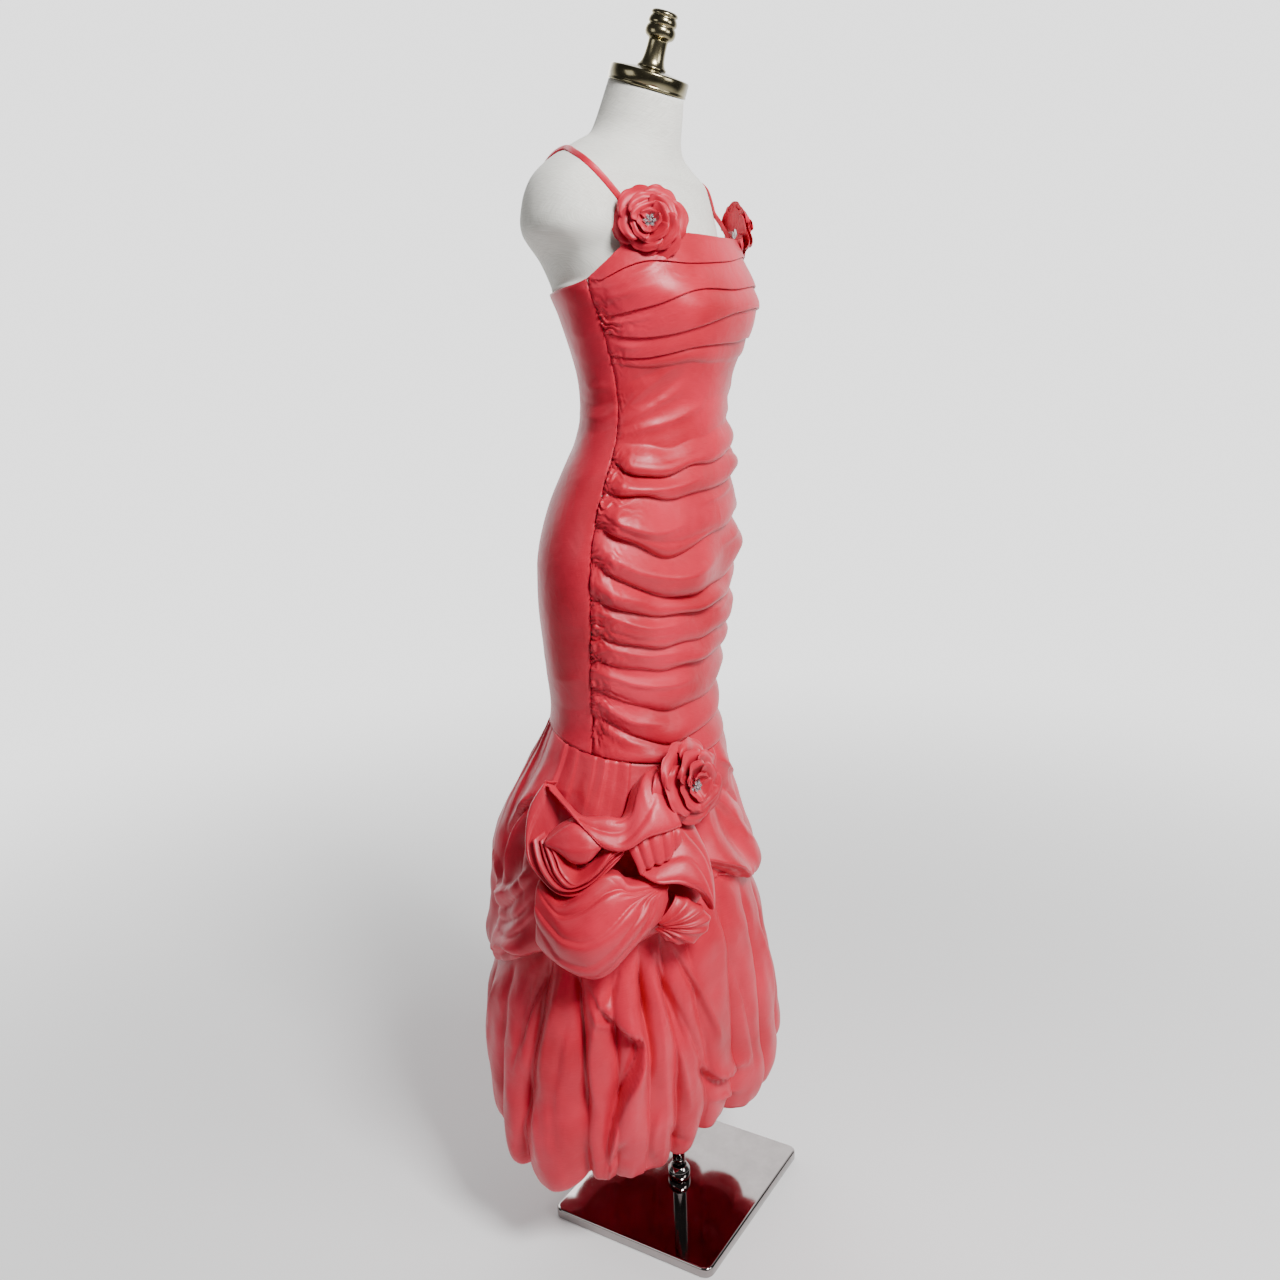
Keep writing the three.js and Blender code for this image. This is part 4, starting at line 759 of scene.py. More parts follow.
backPanel = {"rows": 190, "columns": 56, "wall": 1.0, "zipLevel": 0.44, "zipHalf": 3,
             "centreDepth": 115, "degree": 2.3}
backFolds = [
    ([(84, 1232), (100, 1226), (118, 1230)], 1.6, 5, 5),
    ([(82, 1214), (98, 1206), (116, 1208), (132, 1214)], -1.7, 5, 5),
    ([(82, 1200), (96, 1192), (112, 1190), (130, 1196)], 1.9, 6, 5),
    ([(82, 1180), (100, 1172), (124, 1174)], -1.5, 6, 6), ([(176, 1206), (160, 1198), (142, 1194)], 1.6, 6, 5),
    ([(177, 1188), (158, 1182), (140, 1182)], -1.4, 5, 5), ([(86, 1300), (102, 1290), (120, 1292)], 1.0, 7, 7),
    ([(84, 1264), (100, 1254), (122, 1256)], -0.9, 7, 7), ([(176, 1150), (160, 1140), (140, 1138)], 1.0, 8, 8),
    ([(78, 1130), (92, 1118), (110, 1112)], 0.9, 8, 8), ([(80, 860), (98, 850), (120, 848)], 1.1, 8, 8),
    ([(82, 812), (104, 806), (128, 812)], -1.0, 8, 8), ([(176, 880), (154, 868), (132, 870)], 1.1, 9, 8),
    ([(176, 832), (158, 822), (138, 826)], -1.0, 8, 8), ([(100, 1010), (118, 1000), (140, 1002)], 0.7, 14, 14)]


def makeBackPanels():
    level = np.linspace(1, 0, backPanel["rows"])[:, None]
    share = np.linspace(0, 1, backPanel["columns"])[None, :]
    for name, node, side in (("backPanelRight", "back_panel_right", -1), ("backPanelLeft", "back_panel_left", 1)):
        def heightAt(around):
            return mix(kneeHeight(around) + 0.2, topHeight(around), level)
        start = seamCrossing(heightAt, (backPanel["rows"], 1)) + 0.1
        centreGap = np.where(level >= backPanel["zipLevel"], backPanel["zipHalf"] + 0.4, 0.15)
        end = 180 - np.degrees(centreGap / backPanel["centreDepth"])
        around = mix(start, end, share)
        height = heightAt(around)
        fromSide = (around - start) * backPanel["degree"]
        fromCentre = (end - around) * backPanel["degree"]
        out = foldLines(around, height, backFolds, backPanel["degree"])
        out = out + 0.5 * wander(around * 2, height, 3, 90) * ease(2, 14, fromSide)
        out = out - 1.2 * np.exp(-(fromSide / 3) ** 2) - 0.8 * np.exp(-(fromCentre / 3) ** 2)
        out = out + 0.35 * np.exp(-(fromSide / 10) ** 2) * np.sin(height * 2 * math.pi / 13)
        grid = gownPoint(side * around, height, out)
        if side < 0:
            grid = grid[:, ::-1]
        panel = makeCloth(name, grid, backPanel["wall"], False, satin)
        finishPiece(panel, "satin", node)


def makeZip():
    reach = math.degrees(backPanel["zipHalf"] / backPanel["centreDepth"])
    level = np.linspace(1, backPanel["zipLevel"], 220)[:, None]
    around = np.linspace(180 - reach, 180 + reach, 9)[None, :]
    height = mix(kneeHeight(around) + 0.2, topHeight(around), level)
    ridge = -0.2 - 0.5 * np.abs(np.linspace(-1, 1, 9))[None, :]
    grid = gownPoint(around, height, ridge)
    zipTape = makeCloth("zipTape", grid, 0.9, False, tape)
    finishPiece(zipTape, "zip_tape", "back_zip")
    makeZipCoil(float(topHeight(180.0)), float(height[-1, 4]))


coil = {"pitch": 1.6, "ends": 3, "aside": 0.35, "stagger": 0.4, "out": 0.25, "half": (0.75, 0.4, 0.45)}
boxFaces = ((0, 1, 3, 2), (4, 6, 7, 5), (0, 4, 5, 1), (2, 3, 7, 6), (0, 2, 6, 4), (1, 5, 7, 3))


def makeZipCoil(top, bottom):  # the closed coil under the tape's lips
    points, faces = [], []
    high, low = top - coil["ends"], bottom + coil["ends"]
    for k in range(round((high - low) / coil["pitch"])):
        z = high - k * coil["pitch"]
        for side in (-1, 1):
            middle = gownPoint(180.0 - side * coil["aside"], z - coil["stagger"] * side, coil["out"])
            base = len(points)
            points += [tuple(middle + np.array(coil["half"]) * (a, b, c))
                       for a in (-1, 1) for b in (-1, 1) for c in (-1, 1)]
            faces += [[base + i for i in face] for face in boxFaces]
    finishPiece(makeMesh("zipCoil", points, faces, thread, smooth=False), "zip_tape")


makeFrontPanel()
makeBackPanels()
makeZip()
print("bodice and skirt panels made")


# Upper flounce: knife pleats at the knee seam, puffed, turned under at its lower edge

upper = {
    "edgeAround": [-180, -137, -116, -91, -60, -35, -10, 10, 44, 90, 137, 180],
    "edgeHeight": [410, 415, 440, 488, 500, 522, 556, 530, 500, 448, 415, 410],
    "folds": [  # around, lean, width, depth of each broad valley
        (-150, -6, 9, 9), (-124, -10, 8, 12), (-104, -16, 7, 8), (-84, 0, 7, 6), (-62, 0, 8, 6), (-20, 4, 7, 7),
        (4, 6, 8, 11), (34, 6, 9, 10), (62, 5, 8, 8), (92, 8, 9, 12), (124, 8, 8, 9), (152, 4, 9, 11),
        (178, 0, 8, 8)],
    "down": [0, 0.07, 0.18, 0.34, 0.5, 0.66, 0.8, 0.93, 1, 0.985],
    "out": [-0.6, 0.5, 1, 1, 1, 1, 2, 0, -11, -20],
    "pleat": [1, 1, 0.9, 0.55, 0.25, 0.1, 0, 0, 0, 0],
    "valley": [0, 0.1, 0.4, 0.85, 1, 1, 0.9, 0.6, 0.3, 0],
    "pleatCount": 31, "pleatDepth": 3.4, "valleys": 1.4, "strokes": 1.2174, "unevenness": (1.6, 0.5),
    "hemGathers": 47, "hemDepth": 1.1, "columns": 420, "rowsPerBand": 11, "wall": 1.0, "degree": 3.4}
upperFolds = [  # crisp side of a roll has the small width
    ([(-98, 694), (-108, 688), (-116, 672), (-124, 644), (-130, 604)], 9, 2.6, 26),
    ([(-100, 686), (-109, 680), (-117, 664), (-125, 638), (-131, 600)], -9, 10, 2.6),
    ([(-112, 676), (-112, 640), (-108, 600), (-102, 560)], -6, 4, 10),
    ([(-116, 668), (-120, 620), (-120, 570)], 6, 10, 4),
    ([(-138, 566), (-126, 540), (-112, 560), (-98, 604)], 9, 3, 20),
    ([(-136, 520), (-122, 516), (-108, 548), (-96, 590)], -5, 3, 8),
    ([(-134, 500), (-120, 498), (-106, 524), (-95, 566)], -5, 3, 8),
    ([(-130, 484), (-116, 484), (-104, 504), (-94, 540)], -4.5, 3, 8),
    ([(-124, 448), (-115, 470), (-104, 476), (-92, 478)], 10, 24, 2.6),
    ([(-122, 440), (-114, 460), (-104, 466), (-92, 468)], -9, 2.6, 10),
    ([(-18, 594), (-9, 580), (1, 558), (8, 528), (9, 506)], 12, 26, 2.8),
    ([(-18, 582), (-10, 569), (-1, 548), (5.5, 520)], -12, 2.8, 16),
    ([(-8, 700), (2, 664), (12, 626), (20, 580)], 6, 16, 5),
    ([(-3, 706), (8, 676), (20, 640), (32, 600)], -6, 3, 10), ([(6, 712), (20, 684), (36, 650)], 5, 10, 4),
    ([(22, 600), (34, 572), (42, 540)], -7, 3, 9), ([(46, 700), (56, 650), (66, 590), (70, 540)], -7, 3, 11),
    ([(70, 690), (80, 640), (90, 590)], 7, 14, 4), ([(84, 560), (96, 548), (108, 520), (112, 492)], 9, 20, 3),
    ([(84, 548), (95, 537), (106, 510)], -8, 3, 11), ([(98, 690), (108, 630), (112, 560)], -7, 3, 10),
    ([(126, 566), (138, 560), (150, 534), (154, 500)], 9, 20, 3), ([(126, 554), (137, 549), (148, 524)], -8, 3, 11),
    ([(126, 690), (136, 640), (140, 590)], 6, 12, 4), ([(152, 700), (160, 650), (166, 590)], -7, 3, 10),
    ([(-172, 566), (-162, 558), (-152, 532), (-150, 500)], 9, 20, 3),
    ([(-172, 554), (-163, 547), (-154, 522)], -8, 3, 11), ([(-176, 700), (-166, 650), (-160, 590)], -6, 3, 10),
    ([(-150, 660), (-146, 610), (-146, 560)], 6, 12, 4), ([(176, 560), (179, 510), (180, 460)], -6, 4, 9)]


def upperEdgeHeight(angle):
    return curveThrough(upper["edgeAround"], upper["edgeHeight"], wrapAngle(angle))


def knifePleats(angle):  # flat pleats that all lie one way, each a little different
    turn = np.radians(angle)
    place = angle / 360 * upper["pleatCount"] + 0.5 * np.sin(turn * 5) + 0.24 * np.sin(turn * 11)
    share = place % 1
    strength = 0.62 + 0.38 * np.sin(np.floor(place) * 2.4)
    return strength * ease(0, 0.84, share) * (1 - ease(0.9, 1.0, share))


def makeUpperFlounce():
    bands = len(upper["down"]) - 1
    index = np.linspace(0, bands, bands * upper["rowsPerBand"] + 1)
    column = {key: curveThrough(np.arange(bands + 1), upper[key], index)[:, None]
              for key in ("down", "out", "pleat", "valley")}
    angle = (-180 + 360 * np.arange(upper["columns"]) / upper["columns"])[None, :]
    height = mix(kneeHeight(angle) - 0.2, upperEdgeHeight(angle), column["down"])
    valley = np.zeros(height.shape)
    for around, lean, width, depth in upper["folds"]:
        valley += depth * np.exp(-((wrapAngle(angle - around - lean * column["down"]) / width) ** 2))
    angles = np.broadcast_to(angle, height.shape)
    hanging = 1 - ease(7.6, 9, index)[:, None]
    out = column["out"] + np.maximum(column["pleat"], 0) * upper["pleatDepth"] * knifePleats(angle)
    out = out - upper["valleys"] * column["valley"] * valley
    out = out + upper["strokes"] * hanging * foldLines(angles, height, upperFolds, upper["degree"])
    broad, fine = upper["unevenness"]
    soft = broad * wander(angles * 3.4, height * 0.6, 21, 95) + fine * wander(angles * 3.4, height, 22, 30)
    out = out + ease(0, 3, index)[:, None] * hanging * soft
    turn = np.radians(angle)
    hem = upper["hemDepth"] * np.exp(-((index[:, None] - 8) / 1.1) ** 2)
    out = out + hem * np.sin(turn * upper["hemGathers"] + 5 * np.sin(turn * 5))
    out = out - 1.0 * np.exp(-(index[:, None] / 0.12) ** 2)  # the seam's sunk line
    flounce = makeCloth("upperFlounce", gownPoint(angles, height, out), upper["wall"], True, satin)
    finishPiece(flounce, "satin", "flounce_upper")


# Lower flounce: deep hanging folds that puff out and turn under at the hem

lower = {
    # for each valley: place at the top and at the hem, depth, share of it left at the hem,
    # the hem's height, how far the hem reaches out, and how far the puff beside it sags
    "above": [-176, -154, -134, -112, -90, -77, -62, -50, -41, -31, -12, 7, 25, 44, 66, 92, 118, 141, 162],
    "below": [-178, -158, -137, -119, -105, -70, -59, -47, -34, -20, -7, 9, 26, 47, 72, 97, 122, 144, 164],
    "depth": [12, 14, 10, 12, 22, 20, 13, 20, 15, 13, 12, 10, 11, 10, 14, 12, 15, 11, 13],
    "keep": [1, 1, 1, 0.7, 1, 1, 0.4, 0.2, 1, 1, 0.8, 1, 1, 1, 1, 1, 1, 1, 1],
    "hem": [196, 190, 202, 186, 152, 166, 158, 154, 164, 178, 184, 184, 222, 228, 218, 206, 198, 190, 198],
    "reach": [0, 4, -6, -12, -4, -14, -26, -24, -22, -30, -34, -6, 0, 2, 2, 0, -2, 2, -2],
    "sag": [10, 12, 8, 20, 24, 6, 4, 4, 8, 6, 12, 4, 8, 6, 12, 14, 10, 12, 8],
    # from the top down: share of the way down, distance out, and shares of the valleys and of the hem's reach
    "down": [-0.03, 0.02, 0.1, 0.22, 0.38, 0.54, 0.7, 0.84, 0.94, 0.995, 0.99, 0.93],
    "out": [-20.9, -20.9, -13, -3, 0, 0, 0, 0, -1, -9, -24, -34],
    "fold": [0, 0, 0.45, 0.9, 1, 1, 1, 1, 1, 0.9, 0.7, 0.4],
    "lead": [0, 0, 0, 0, 0.1, 0.3, 0.55, 0.8, 1, 1, 1, 1],
    "valleys": 1.5, "narrow": 10, "strokes": 1.3, "unevenness": (1.5, 0.5), "hemGathers": 43,
    "columnsPerFold": 22, "rowsPerBand": 9, "wall": 1.0, "degree": 3.9}
lowerFolds = [
    ([(-96, 470), (-100, 420), (-103, 370), (-106, 300)], -6, 6, 8),
    ([(-84, 480), (-86, 420), (-90, 360), (-92, 290)], 5, 10, 10),
    ([(-100, 330), (-97, 280), (-94, 230), (-92, 180)], 4, 9, 9),
    ([(-80, 400), (-84, 330), (-86, 260), (-84, 200)], -4, 8, 10),
    ([(-66, 424), (-60, 398), (-51, 372), (-52, 338), (-57, 296), (-61, 236), (-62, 190)], 15, 34, 3.0),
    ([(-65, 412), (-60, 386), (-53.5, 364), (-54.5, 334), (-59.5, 292), (-63, 234), (-64, 190)], -11, 3.0, 14),
    ([(-87, 488), (-82, 470), (-77, 450), (-74, 420)], -8, 5, 9),
    ([(-89, 484), (-94, 440), (-99, 390), (-103, 330)], -9, 4, 9),
    ([(-52, 496), (-50, 460), (-49, 420), (-50, 392)], -9, 3, 6),
    ([(-45, 500), (-42, 460), (-38, 410), (-34, 350)], -9, 3, 7),
    ([(-38, 500), (-33, 460), (-27, 410), (-22, 350)], -8, 3, 7), ([(-58, 480), (-60, 446), (-64, 420)], -6, 3, 6),
    ([(-70, 420), (-66, 396), (-58, 386)], 5, 7, 5), ([(-66, 440), (-68, 400), (-71, 350), (-70, 290)], 4, 8, 8),
    ([(-50, 450), (-49, 400), (-48, 350), (-49, 300)], -6, 6, 6),
    ([(-44, 440), (-40, 380), (-36, 320), (-32, 250)], 6, 6, 8),
    ([(-40, 440), (-34, 380), (-27, 310), (-24, 270)], -6, 5, 6), ([(-30, 450), (-24, 390), (-18, 330)], 5, 7, 7),
    ([(-27, 306), (-20, 276), (-12, 264), (-3, 262)], 9, 16, 2.6),
    ([(-27, 296), (-20, 266), (-12, 254), (-4, 252)], -8, 2.6, 9), ([(-20, 236), (-12, 226), (-4, 214)], 5, 6, 4),
    ([(-44, 260), (-46, 220), (-44, 180)], 4, 8, 8), ([(-40, 230), (-36, 200), (-30, 186)], -5, 6, 6),
    ([(-56, 230), (-60, 200), (-62, 180)], -5, 6, 7), ([(-8, 440), (-4, 380), (0, 300), (2, 240)], -6, 8, 8),
    ([(16, 440), (20, 360), (22, 290)], 5, 10, 10), ([(34, 450), (36, 380), (38, 300)], -5, 9, 9),
    ([(56, 450), (60, 380), (62, 310), (60, 260)], 6, 10, 10), ([(80, 430), (84, 360), (82, 300)], -6, 8, 8),
    ([(104, 410), (108, 340), (110, 270)], 6, 10, 10), ([(130, 400), (132, 330), (130, 260)], -6, 8, 8),
    ([(152, 390), (154, 320), (156, 260)], 5, 10, 9), ([(172, 390), (176, 320), (174, 250)], -5, 8, 8),
    ([(-164, 390), (-168, 320), (-166, 250)], 5, 9, 9), ([(-144, 400), (-147, 330), (-146, 260)], -5, 8, 8),
    ([(-124, 410), (-128, 340), (-130, 280)], 5, 9, 9), ([(86, 330), (94, 312), (102, 306)], 7, 8, 5),
    ([(-150, 320), (-158, 300), (-166, 294)], 7, 5, 8)]


def makeLowerFlounce():
    folds, per = len(lower["above"]), lower["columnsPerFold"]
    fold = np.repeat(np.arange(folds), per)
    following = (fold + 1) % folds
    between = np.tile(np.arange(per) / per, folds)
    over = np.where(fold + 1 == folds, 360, 0)

    def across(key, extra=0):  # a value of each valley, carried over to the next one
        values = np.asarray(lower[key], float)
        return mix(values[fold], values[following] + extra, between)
    ridge = np.sin(math.pi * between ** (1 + 0.25 * np.sin(fold * 2.1))) ** 0.8
    tops = np.asarray(lower["above"], float)
    nearValley = np.minimum(between, 1 - between) * (tops[following] + over - tops[fold])
    narrow = np.exp(-((nearValley * lower["degree"] / lower["narrow"]) ** 1.1))
    bands = len(lower["down"]) - 1
    index = np.linspace(0, bands, bands * lower["rowsPerBand"] + 1)
    column = {key: curveThrough(np.arange(bands + 1), lower[key], index)[:, None]
              for key in ("down", "out", "fold", "lead")}
    down = np.clip(column["down"], 0, 1)
    valley = across("depth") * (0.9 * narrow + 0.35 * (1 - ridge))  # it comes and goes along its length
    valley = 0.85 * valley * (0.68 + 0.32 * wander(between * 0 + fold * 90.0, 700 * down, 41, 260))
    hem = across("hem") - np.asarray(lower["sag"], float)[fold] * ridge
    angle = mix(across("above", over), across("below", over), down)
    height = mix(upperEdgeHeight(angle), hem, column["down"])
    out = column["out"] - lower["valleys"] * column["fold"] * valley * mix(1, across("keep"), down)
    out = out + column["lead"] * across("reach")
    hanging = ease(1.4, 3, index)[:, None] * (1 - ease(9.2, 11, index)[:, None])
    out = out + lower["strokes"] * hanging * foldLines(wrapAngle(angle), height, lowerFolds, lower["degree"])
    broad, fine = lower["unevenness"]
    soft = broad * wander(angle * 3.9, height * 0.35, 31, 80) + fine * wander(angle * 3.9, height, 32, 30)
    out = out + hanging * soft
    turn = np.radians(angle)
    hemRows = np.exp(-((index[:, None] - 9.2) / 1.1) ** 2)
    out = out + hemRows * np.sin(turn * lower["hemGathers"] + 5 * np.sin(turn * 6))
    flounce = makeCloth("lowerFlounce", gownPoint(angle, height, out), lower["wall"], True, satin)
    finishPiece(flounce, "satin", "flounce_lower")


makeUpperFlounce()
makeLowerFlounce()
print("flounces made")


# Rosette: folded widths of cloth. Each has a few lines across it, every point being around, up, out.
# Its folds and ribs lie on the flat cloth, whose height and width are its size.

rosette = {
    "leaf": {"lines": [
        [(-97, 709, 20), (-84, 682, 14), (-74, 664, 12), (-72, 643, 12), (-74, 631, 14), (-74, 625, 16),
         (-70, 625, 18), (-66, 628, 18), (-59, 643, 20)],
        [(-98, 716, 30), (-93, 688, 27), (-91, 655, 26), (-88, 631, 28), (-83, 616, 30), (-76, 604, 32),
         (-71, 607, 32), (-64, 625, 30), (-57, 643, 28)],
        [(-98, 721, 34), (-100, 691, 37), (-97, 655, 39), (-93, 628, 39), (-86, 610, 41), (-78, 595, 43),
         (-70, 598, 43), (-63, 619, 40), (-56, 640, 34)],
        [(-99, 716, 22), (-104, 690, 20), (-101, 654, 18), (-97, 624, 18), (-89, 603, 18), (-79, 587, 18),
         (-70, 590, 18), (-63, 612, 18), (-56, 634, 16)],
        [(-98, 712, 6), (-103, 690, 5), (-100, 655, 4), (-96, 628, 4), (-88, 608, 4), (-78, 594, 4),
         (-70, 596, 5), (-63, 616, 6), (-57, 634, 6)]],
        "folds": [([(10, -18), (50, -30), (90, -34), (130, -30), (180, -22)], -3, 8, 2),
                  ([(20, -8), (60, -16), (110, -16)], -2.5, 5, 1.8),
                  ([(70, -52), (110, -54), (150, -50)], -2.5, 6, 2), ([(4, -40), (30, -46), (60, -50)], -2.5, 6, 2)],
        "size": (70, 190), "grid": (60, 100), "flat": (0.11, 0.24), "node": "drape_petal"},
    "bowl": {"lines": [
        [(-83, 655, 22), (-80, 640, 22), (-76, 631, 24), (-73, 622, 26), (-69, 628, 26), (-66, 637, 24),
         (-64, 643, 22), (-61, 649, 20)],
        [(-86, 655, 41), (-81, 637, 44), (-78, 622, 46), (-73, 610, 48), (-68, 619, 48), (-64, 634, 46),
         (-61, 646, 42), (-57, 650, 38)],
        [(-88, 650, 26), (-83, 632, 28), (-79, 616, 28), (-73, 603, 30), (-67, 612, 30), (-62, 628, 28),
         (-59, 641, 26), (-56, 646, 26)]],
        "size": (22, 64), "flat": (0.05, 0.12), "node": "drape_swirl"},
    "heart": {"lines": [
        [(-84, 644, 26), (-80, 640, 28), (-75, 634, 30), (-71, 634, 30), (-67, 643, 28)],
        [(-86, 650, 42), (-81, 648, 44), (-75, 640, 46), (-70, 640, 46), (-66, 648, 42)],
        [(-87, 657, 46), (-82, 668, 49), (-77, 674, 51), (-71, 666, 50), (-65, 655, 46)],
        [(-88, 664, 30), (-83, 678, 30), (-77, 684, 30), (-70, 675, 30), (-64, 660, 28)]],
        "folds": [([(2, -5), (28, -5), (54, -9)], -3, 4, 1.4), ([(2, -11), (28, -12), (54, -14)], -3, 4, 1.4),
                  ([(4, -17), (28, -20), (52, -19)], -3, 4, 1.4)], "size": (26, 56), "flat": (0.06, 0.09)},
    "collar": {"lines": [
        [(-95, 712, 20), (-86, 697, 20), (-76, 682, 20), (-67, 680, 16), (-58, 676, 12), (-55, 708, 12),
         (-50, 722, 10), (-42, 726, 6)],
        [(-96, 718, 35), (-86, 704, 38), (-76, 689, 42), (-66, 688, 40), (-57, 687, 38), (-54, 715, 38),
         (-50, 731, 31), (-42, 734, 17)],
        [(-94, 715, 38), (-84, 701, 43), (-73, 680, 48), (-65, 671, 49), (-57, 669, 48), (-51, 690, 52),
         (-46, 702, 49), (-40, 704, 40)],
        [(-93, 711, 37), (-82, 699, 43), (-70, 670, 50), (-64, 655, 52), (-57, 651, 54), (-49, 666, 57),
         (-42, 669, 56), (-36, 670, 51)],
        [(-92, 706, 26), (-81, 692, 28), (-70, 664, 30), (-64, 650, 32), (-57, 648, 34), (-49, 660, 36),
         (-42, 662, 36), (-36, 663, 34)]],
        "folds": [([(10, -14), (50, -24), (90, -28), (120, -26)], -3, 8, 2),
                  ([(96, -20), (130, -14), (170, -12)], -3, 9, 2.2),
                  ([(104, -36), (140, -32), (180, -26)], -2.5, 8, 2),
                  ([(60, -40), (92, -46), (120, -46)], -2.5, 5, 2)],
        "size": (60, 200), "grid": (56, 120), "flat": (0.08, 0.22), "node": "drape_collar"},
    "fan": {"lines": [
        [(-55, 652, 30), (-50, 662, 34), (-43, 668, 36), (-36, 668, 38)], [(-55, 648, 40), (-50, 658, 44),
         (-43, 664, 48), (-36, 664, 48)],
        [(-52, 628, 40), (-48, 638, 46), (-42, 644, 50), (-36, 656, 50)], [(-50, 612, 36), (-46, 623, 42),
         (-41, 627, 46), (-35, 648, 46)],
        [(-48, 612, 24), (-45, 624, 28), (-41, 630, 30), (-36, 650, 32)]],
        "ribs": (4.5, 3.2), "size": (40, 60), "flat": (0.07, 0.08)},
    "loop": {"lines": [
        [(-44, 640, 12), (-38, 660, 12), (-32, 668, 12), (-27, 666, 12), (-22, 652, 12), (-19, 624, 10)],
        [(-48, 618, 28), (-42, 627, 38), (-34, 636, 44), (-29, 628, 46), (-24, 614, 44), (-22, 592, 36)],
        [(-50, 614, 35), (-45, 606, 49), (-37, 603, 56), (-31, 588, 58), (-28, 570, 54), (-27, 558, 46)],
        [(-48, 606, 26), (-43, 597, 34), (-37, 593, 38), (-31, 579, 40), (-28, 561, 38), (-27, 549, 30)],
        [(-44, 600, 8), (-40, 592, 8), (-35, 588, 8), (-30, 578, 8), (-26, 562, 8), (-25, 550, 8)]],
        "folds": [([(10, -22), (40, -26), (70, -30), (104, -44)], -3.5, 9, 2.2),
                  ([(50, -8), (76, -16), (100, -30)], -3, 8, 2), ([(20, -44), (50, -46), (84, -54)], -2.5, 7, 2)],
        "size": (90, 120), "grid": (60, 80), "flat": (0.13, 0.13), "node": "drape_loop"},
    "swag": {"lines": [
        [(-88, 594, 6), (-80, 588, 8), (-76, 588, 10), (-70, 600, 14), (-63, 614, 16), (-58, 614, 16),
         (-54, 604, 16), (-47, 600, 12), (-40, 592, 8)],
        [(-90, 599, 22), (-82, 588, 36), (-77, 584, 42), (-71, 596, 46), (-64, 613, 44), (-58, 614, 42),
         (-54, 603, 42), (-46, 599, 36), (-39, 590, 27)],
        [(-89, 578, 32), (-81, 570, 47), (-76, 568, 55), (-69, 574, 60), (-62, 588, 58), (-57, 591, 54),
         (-52, 589, 50), (-46, 589, 43), (-40, 585, 31)],
        [(-87, 550, 36), (-80, 542, 52), (-75, 537, 62), (-68, 533, 66), (-61, 543, 62), (-54, 558, 54),
         (-48, 567, 44), (-44, 573, 36), (-40, 579, 28)],
        [(-88, 516, 24), (-83, 507, 32), (-77, 497, 40), (-68, 484, 42), (-62, 491, 38), (-55, 519, 34),
         (-49, 539, 30), (-44, 551, 25), (-40, 569, 22)],
        [(-86, 522, 6), (-82, 515, 4), (-76, 508, 2), (-68, 500, 2), (-62, 503, 4), (-55, 525, 6), (-49, 541, 6),
         (-44, 553, 6), (-40, 569, 8)]],
        "folds": [([(4, -44), (40, -56), (90, -52), (150, -44), (186, -36)], -5, 12, 2.4),
                  ([(2, -72), (40, -86), (90, -84), (140, -68), (184, -46)], -5.5, 14, 2.4),
                  ([(4, -98), (40, -112), (86, -108), (132, -88), (180, -56)], -5, 12, 2.2),
                  ([(60, -128), (96, -122), (136, -104), (176, -68)], -4, 9, 2.2),
                  ([(20, -122), (56, -134), (90, -134)], -3, 8, 2.0), ([(60, -26), (110, -28), (160, -32)], 3, 8, 6),
                  ([(10, -20), (44, -30), (80, -32)], -2.5, 7, 2),
                  ([(120, -60), (150, -52), (184, -42)], -3, 6, 1.8),
                  ([(130, -84), (156, -72), (184, -52)], -3, 6, 1.8)],
        "size": (160, 190), "grid": (90, 120), "flat": (0.19, 0.20), "node": "drape_swag"},
    "knot": {"lines": [
        [(-46, 543, 12), (-45, 541, 14), (-45, 538, 16), (-45, 535, 14), (-46, 533, 12)], [(-45, 546, 20),
         (-43, 542, 26), (-42, 538, 28), (-43, 534, 26), (-45, 530, 20)],
        [(-41, 560, 26), (-36, 549, 36), (-35, 534, 38), (-39, 524, 34), (-44, 525, 24)],
        [(-37, 574, 24), (-30, 556, 32), (-28, 531, 32), (-35, 511, 30), (-43, 518, 20)], [(-37, 572, 8),
         (-31, 554, 6), (-30, 533, 4), (-36, 516, 4), (-43, 521, 6)]],
        "ribs": (6.5, 3.0), "size": (50, 110), "flat": (0.08, 0.11), "node": "drape_knot"},
}


netUsual = {"grid": (36, 60), "wall": 0.9, "unevenness": 0.5}
nested = {"shares": (0.36, 0.6, 0.82), "step": (2.5, -0.5, 2.5), "deep": ([1, 1, 0.45], [1.5, 7, 0]),
          "back": [-1.6, -8, -20]}


def pointsAlong(line, at):
    values = np.asarray(line, float)
    keys = np.linspace(0, 1, len(values))
    return np.stack([curveThrough(keys, values[:, k], at) for k in range(3)], 1)


def nestRims():  # more rims nested between the leaf's and the bowl's
    bowlRim = np.asarray(rosette["bowl"]["lines"][1], float)
    leafRim = pointsAlong(rosette["leaf"]["lines"][2][2:9], np.linspace(0, 1, len(bowlRim)))
    for step, share in enumerate(nested["shares"]):
        rim = mix(leafRim, bowlRim, share) + [0, 0, nested["step"][step]]
        scale, shift = nested["deep"]
        rosette[f"fold{step + 1}"] = {"lines": [rim * scale + shift, rim, rim + nested["back"]],
                                      "size": (40, 90), "grid": (22, 60), "flat": (0.06, 0.14)}


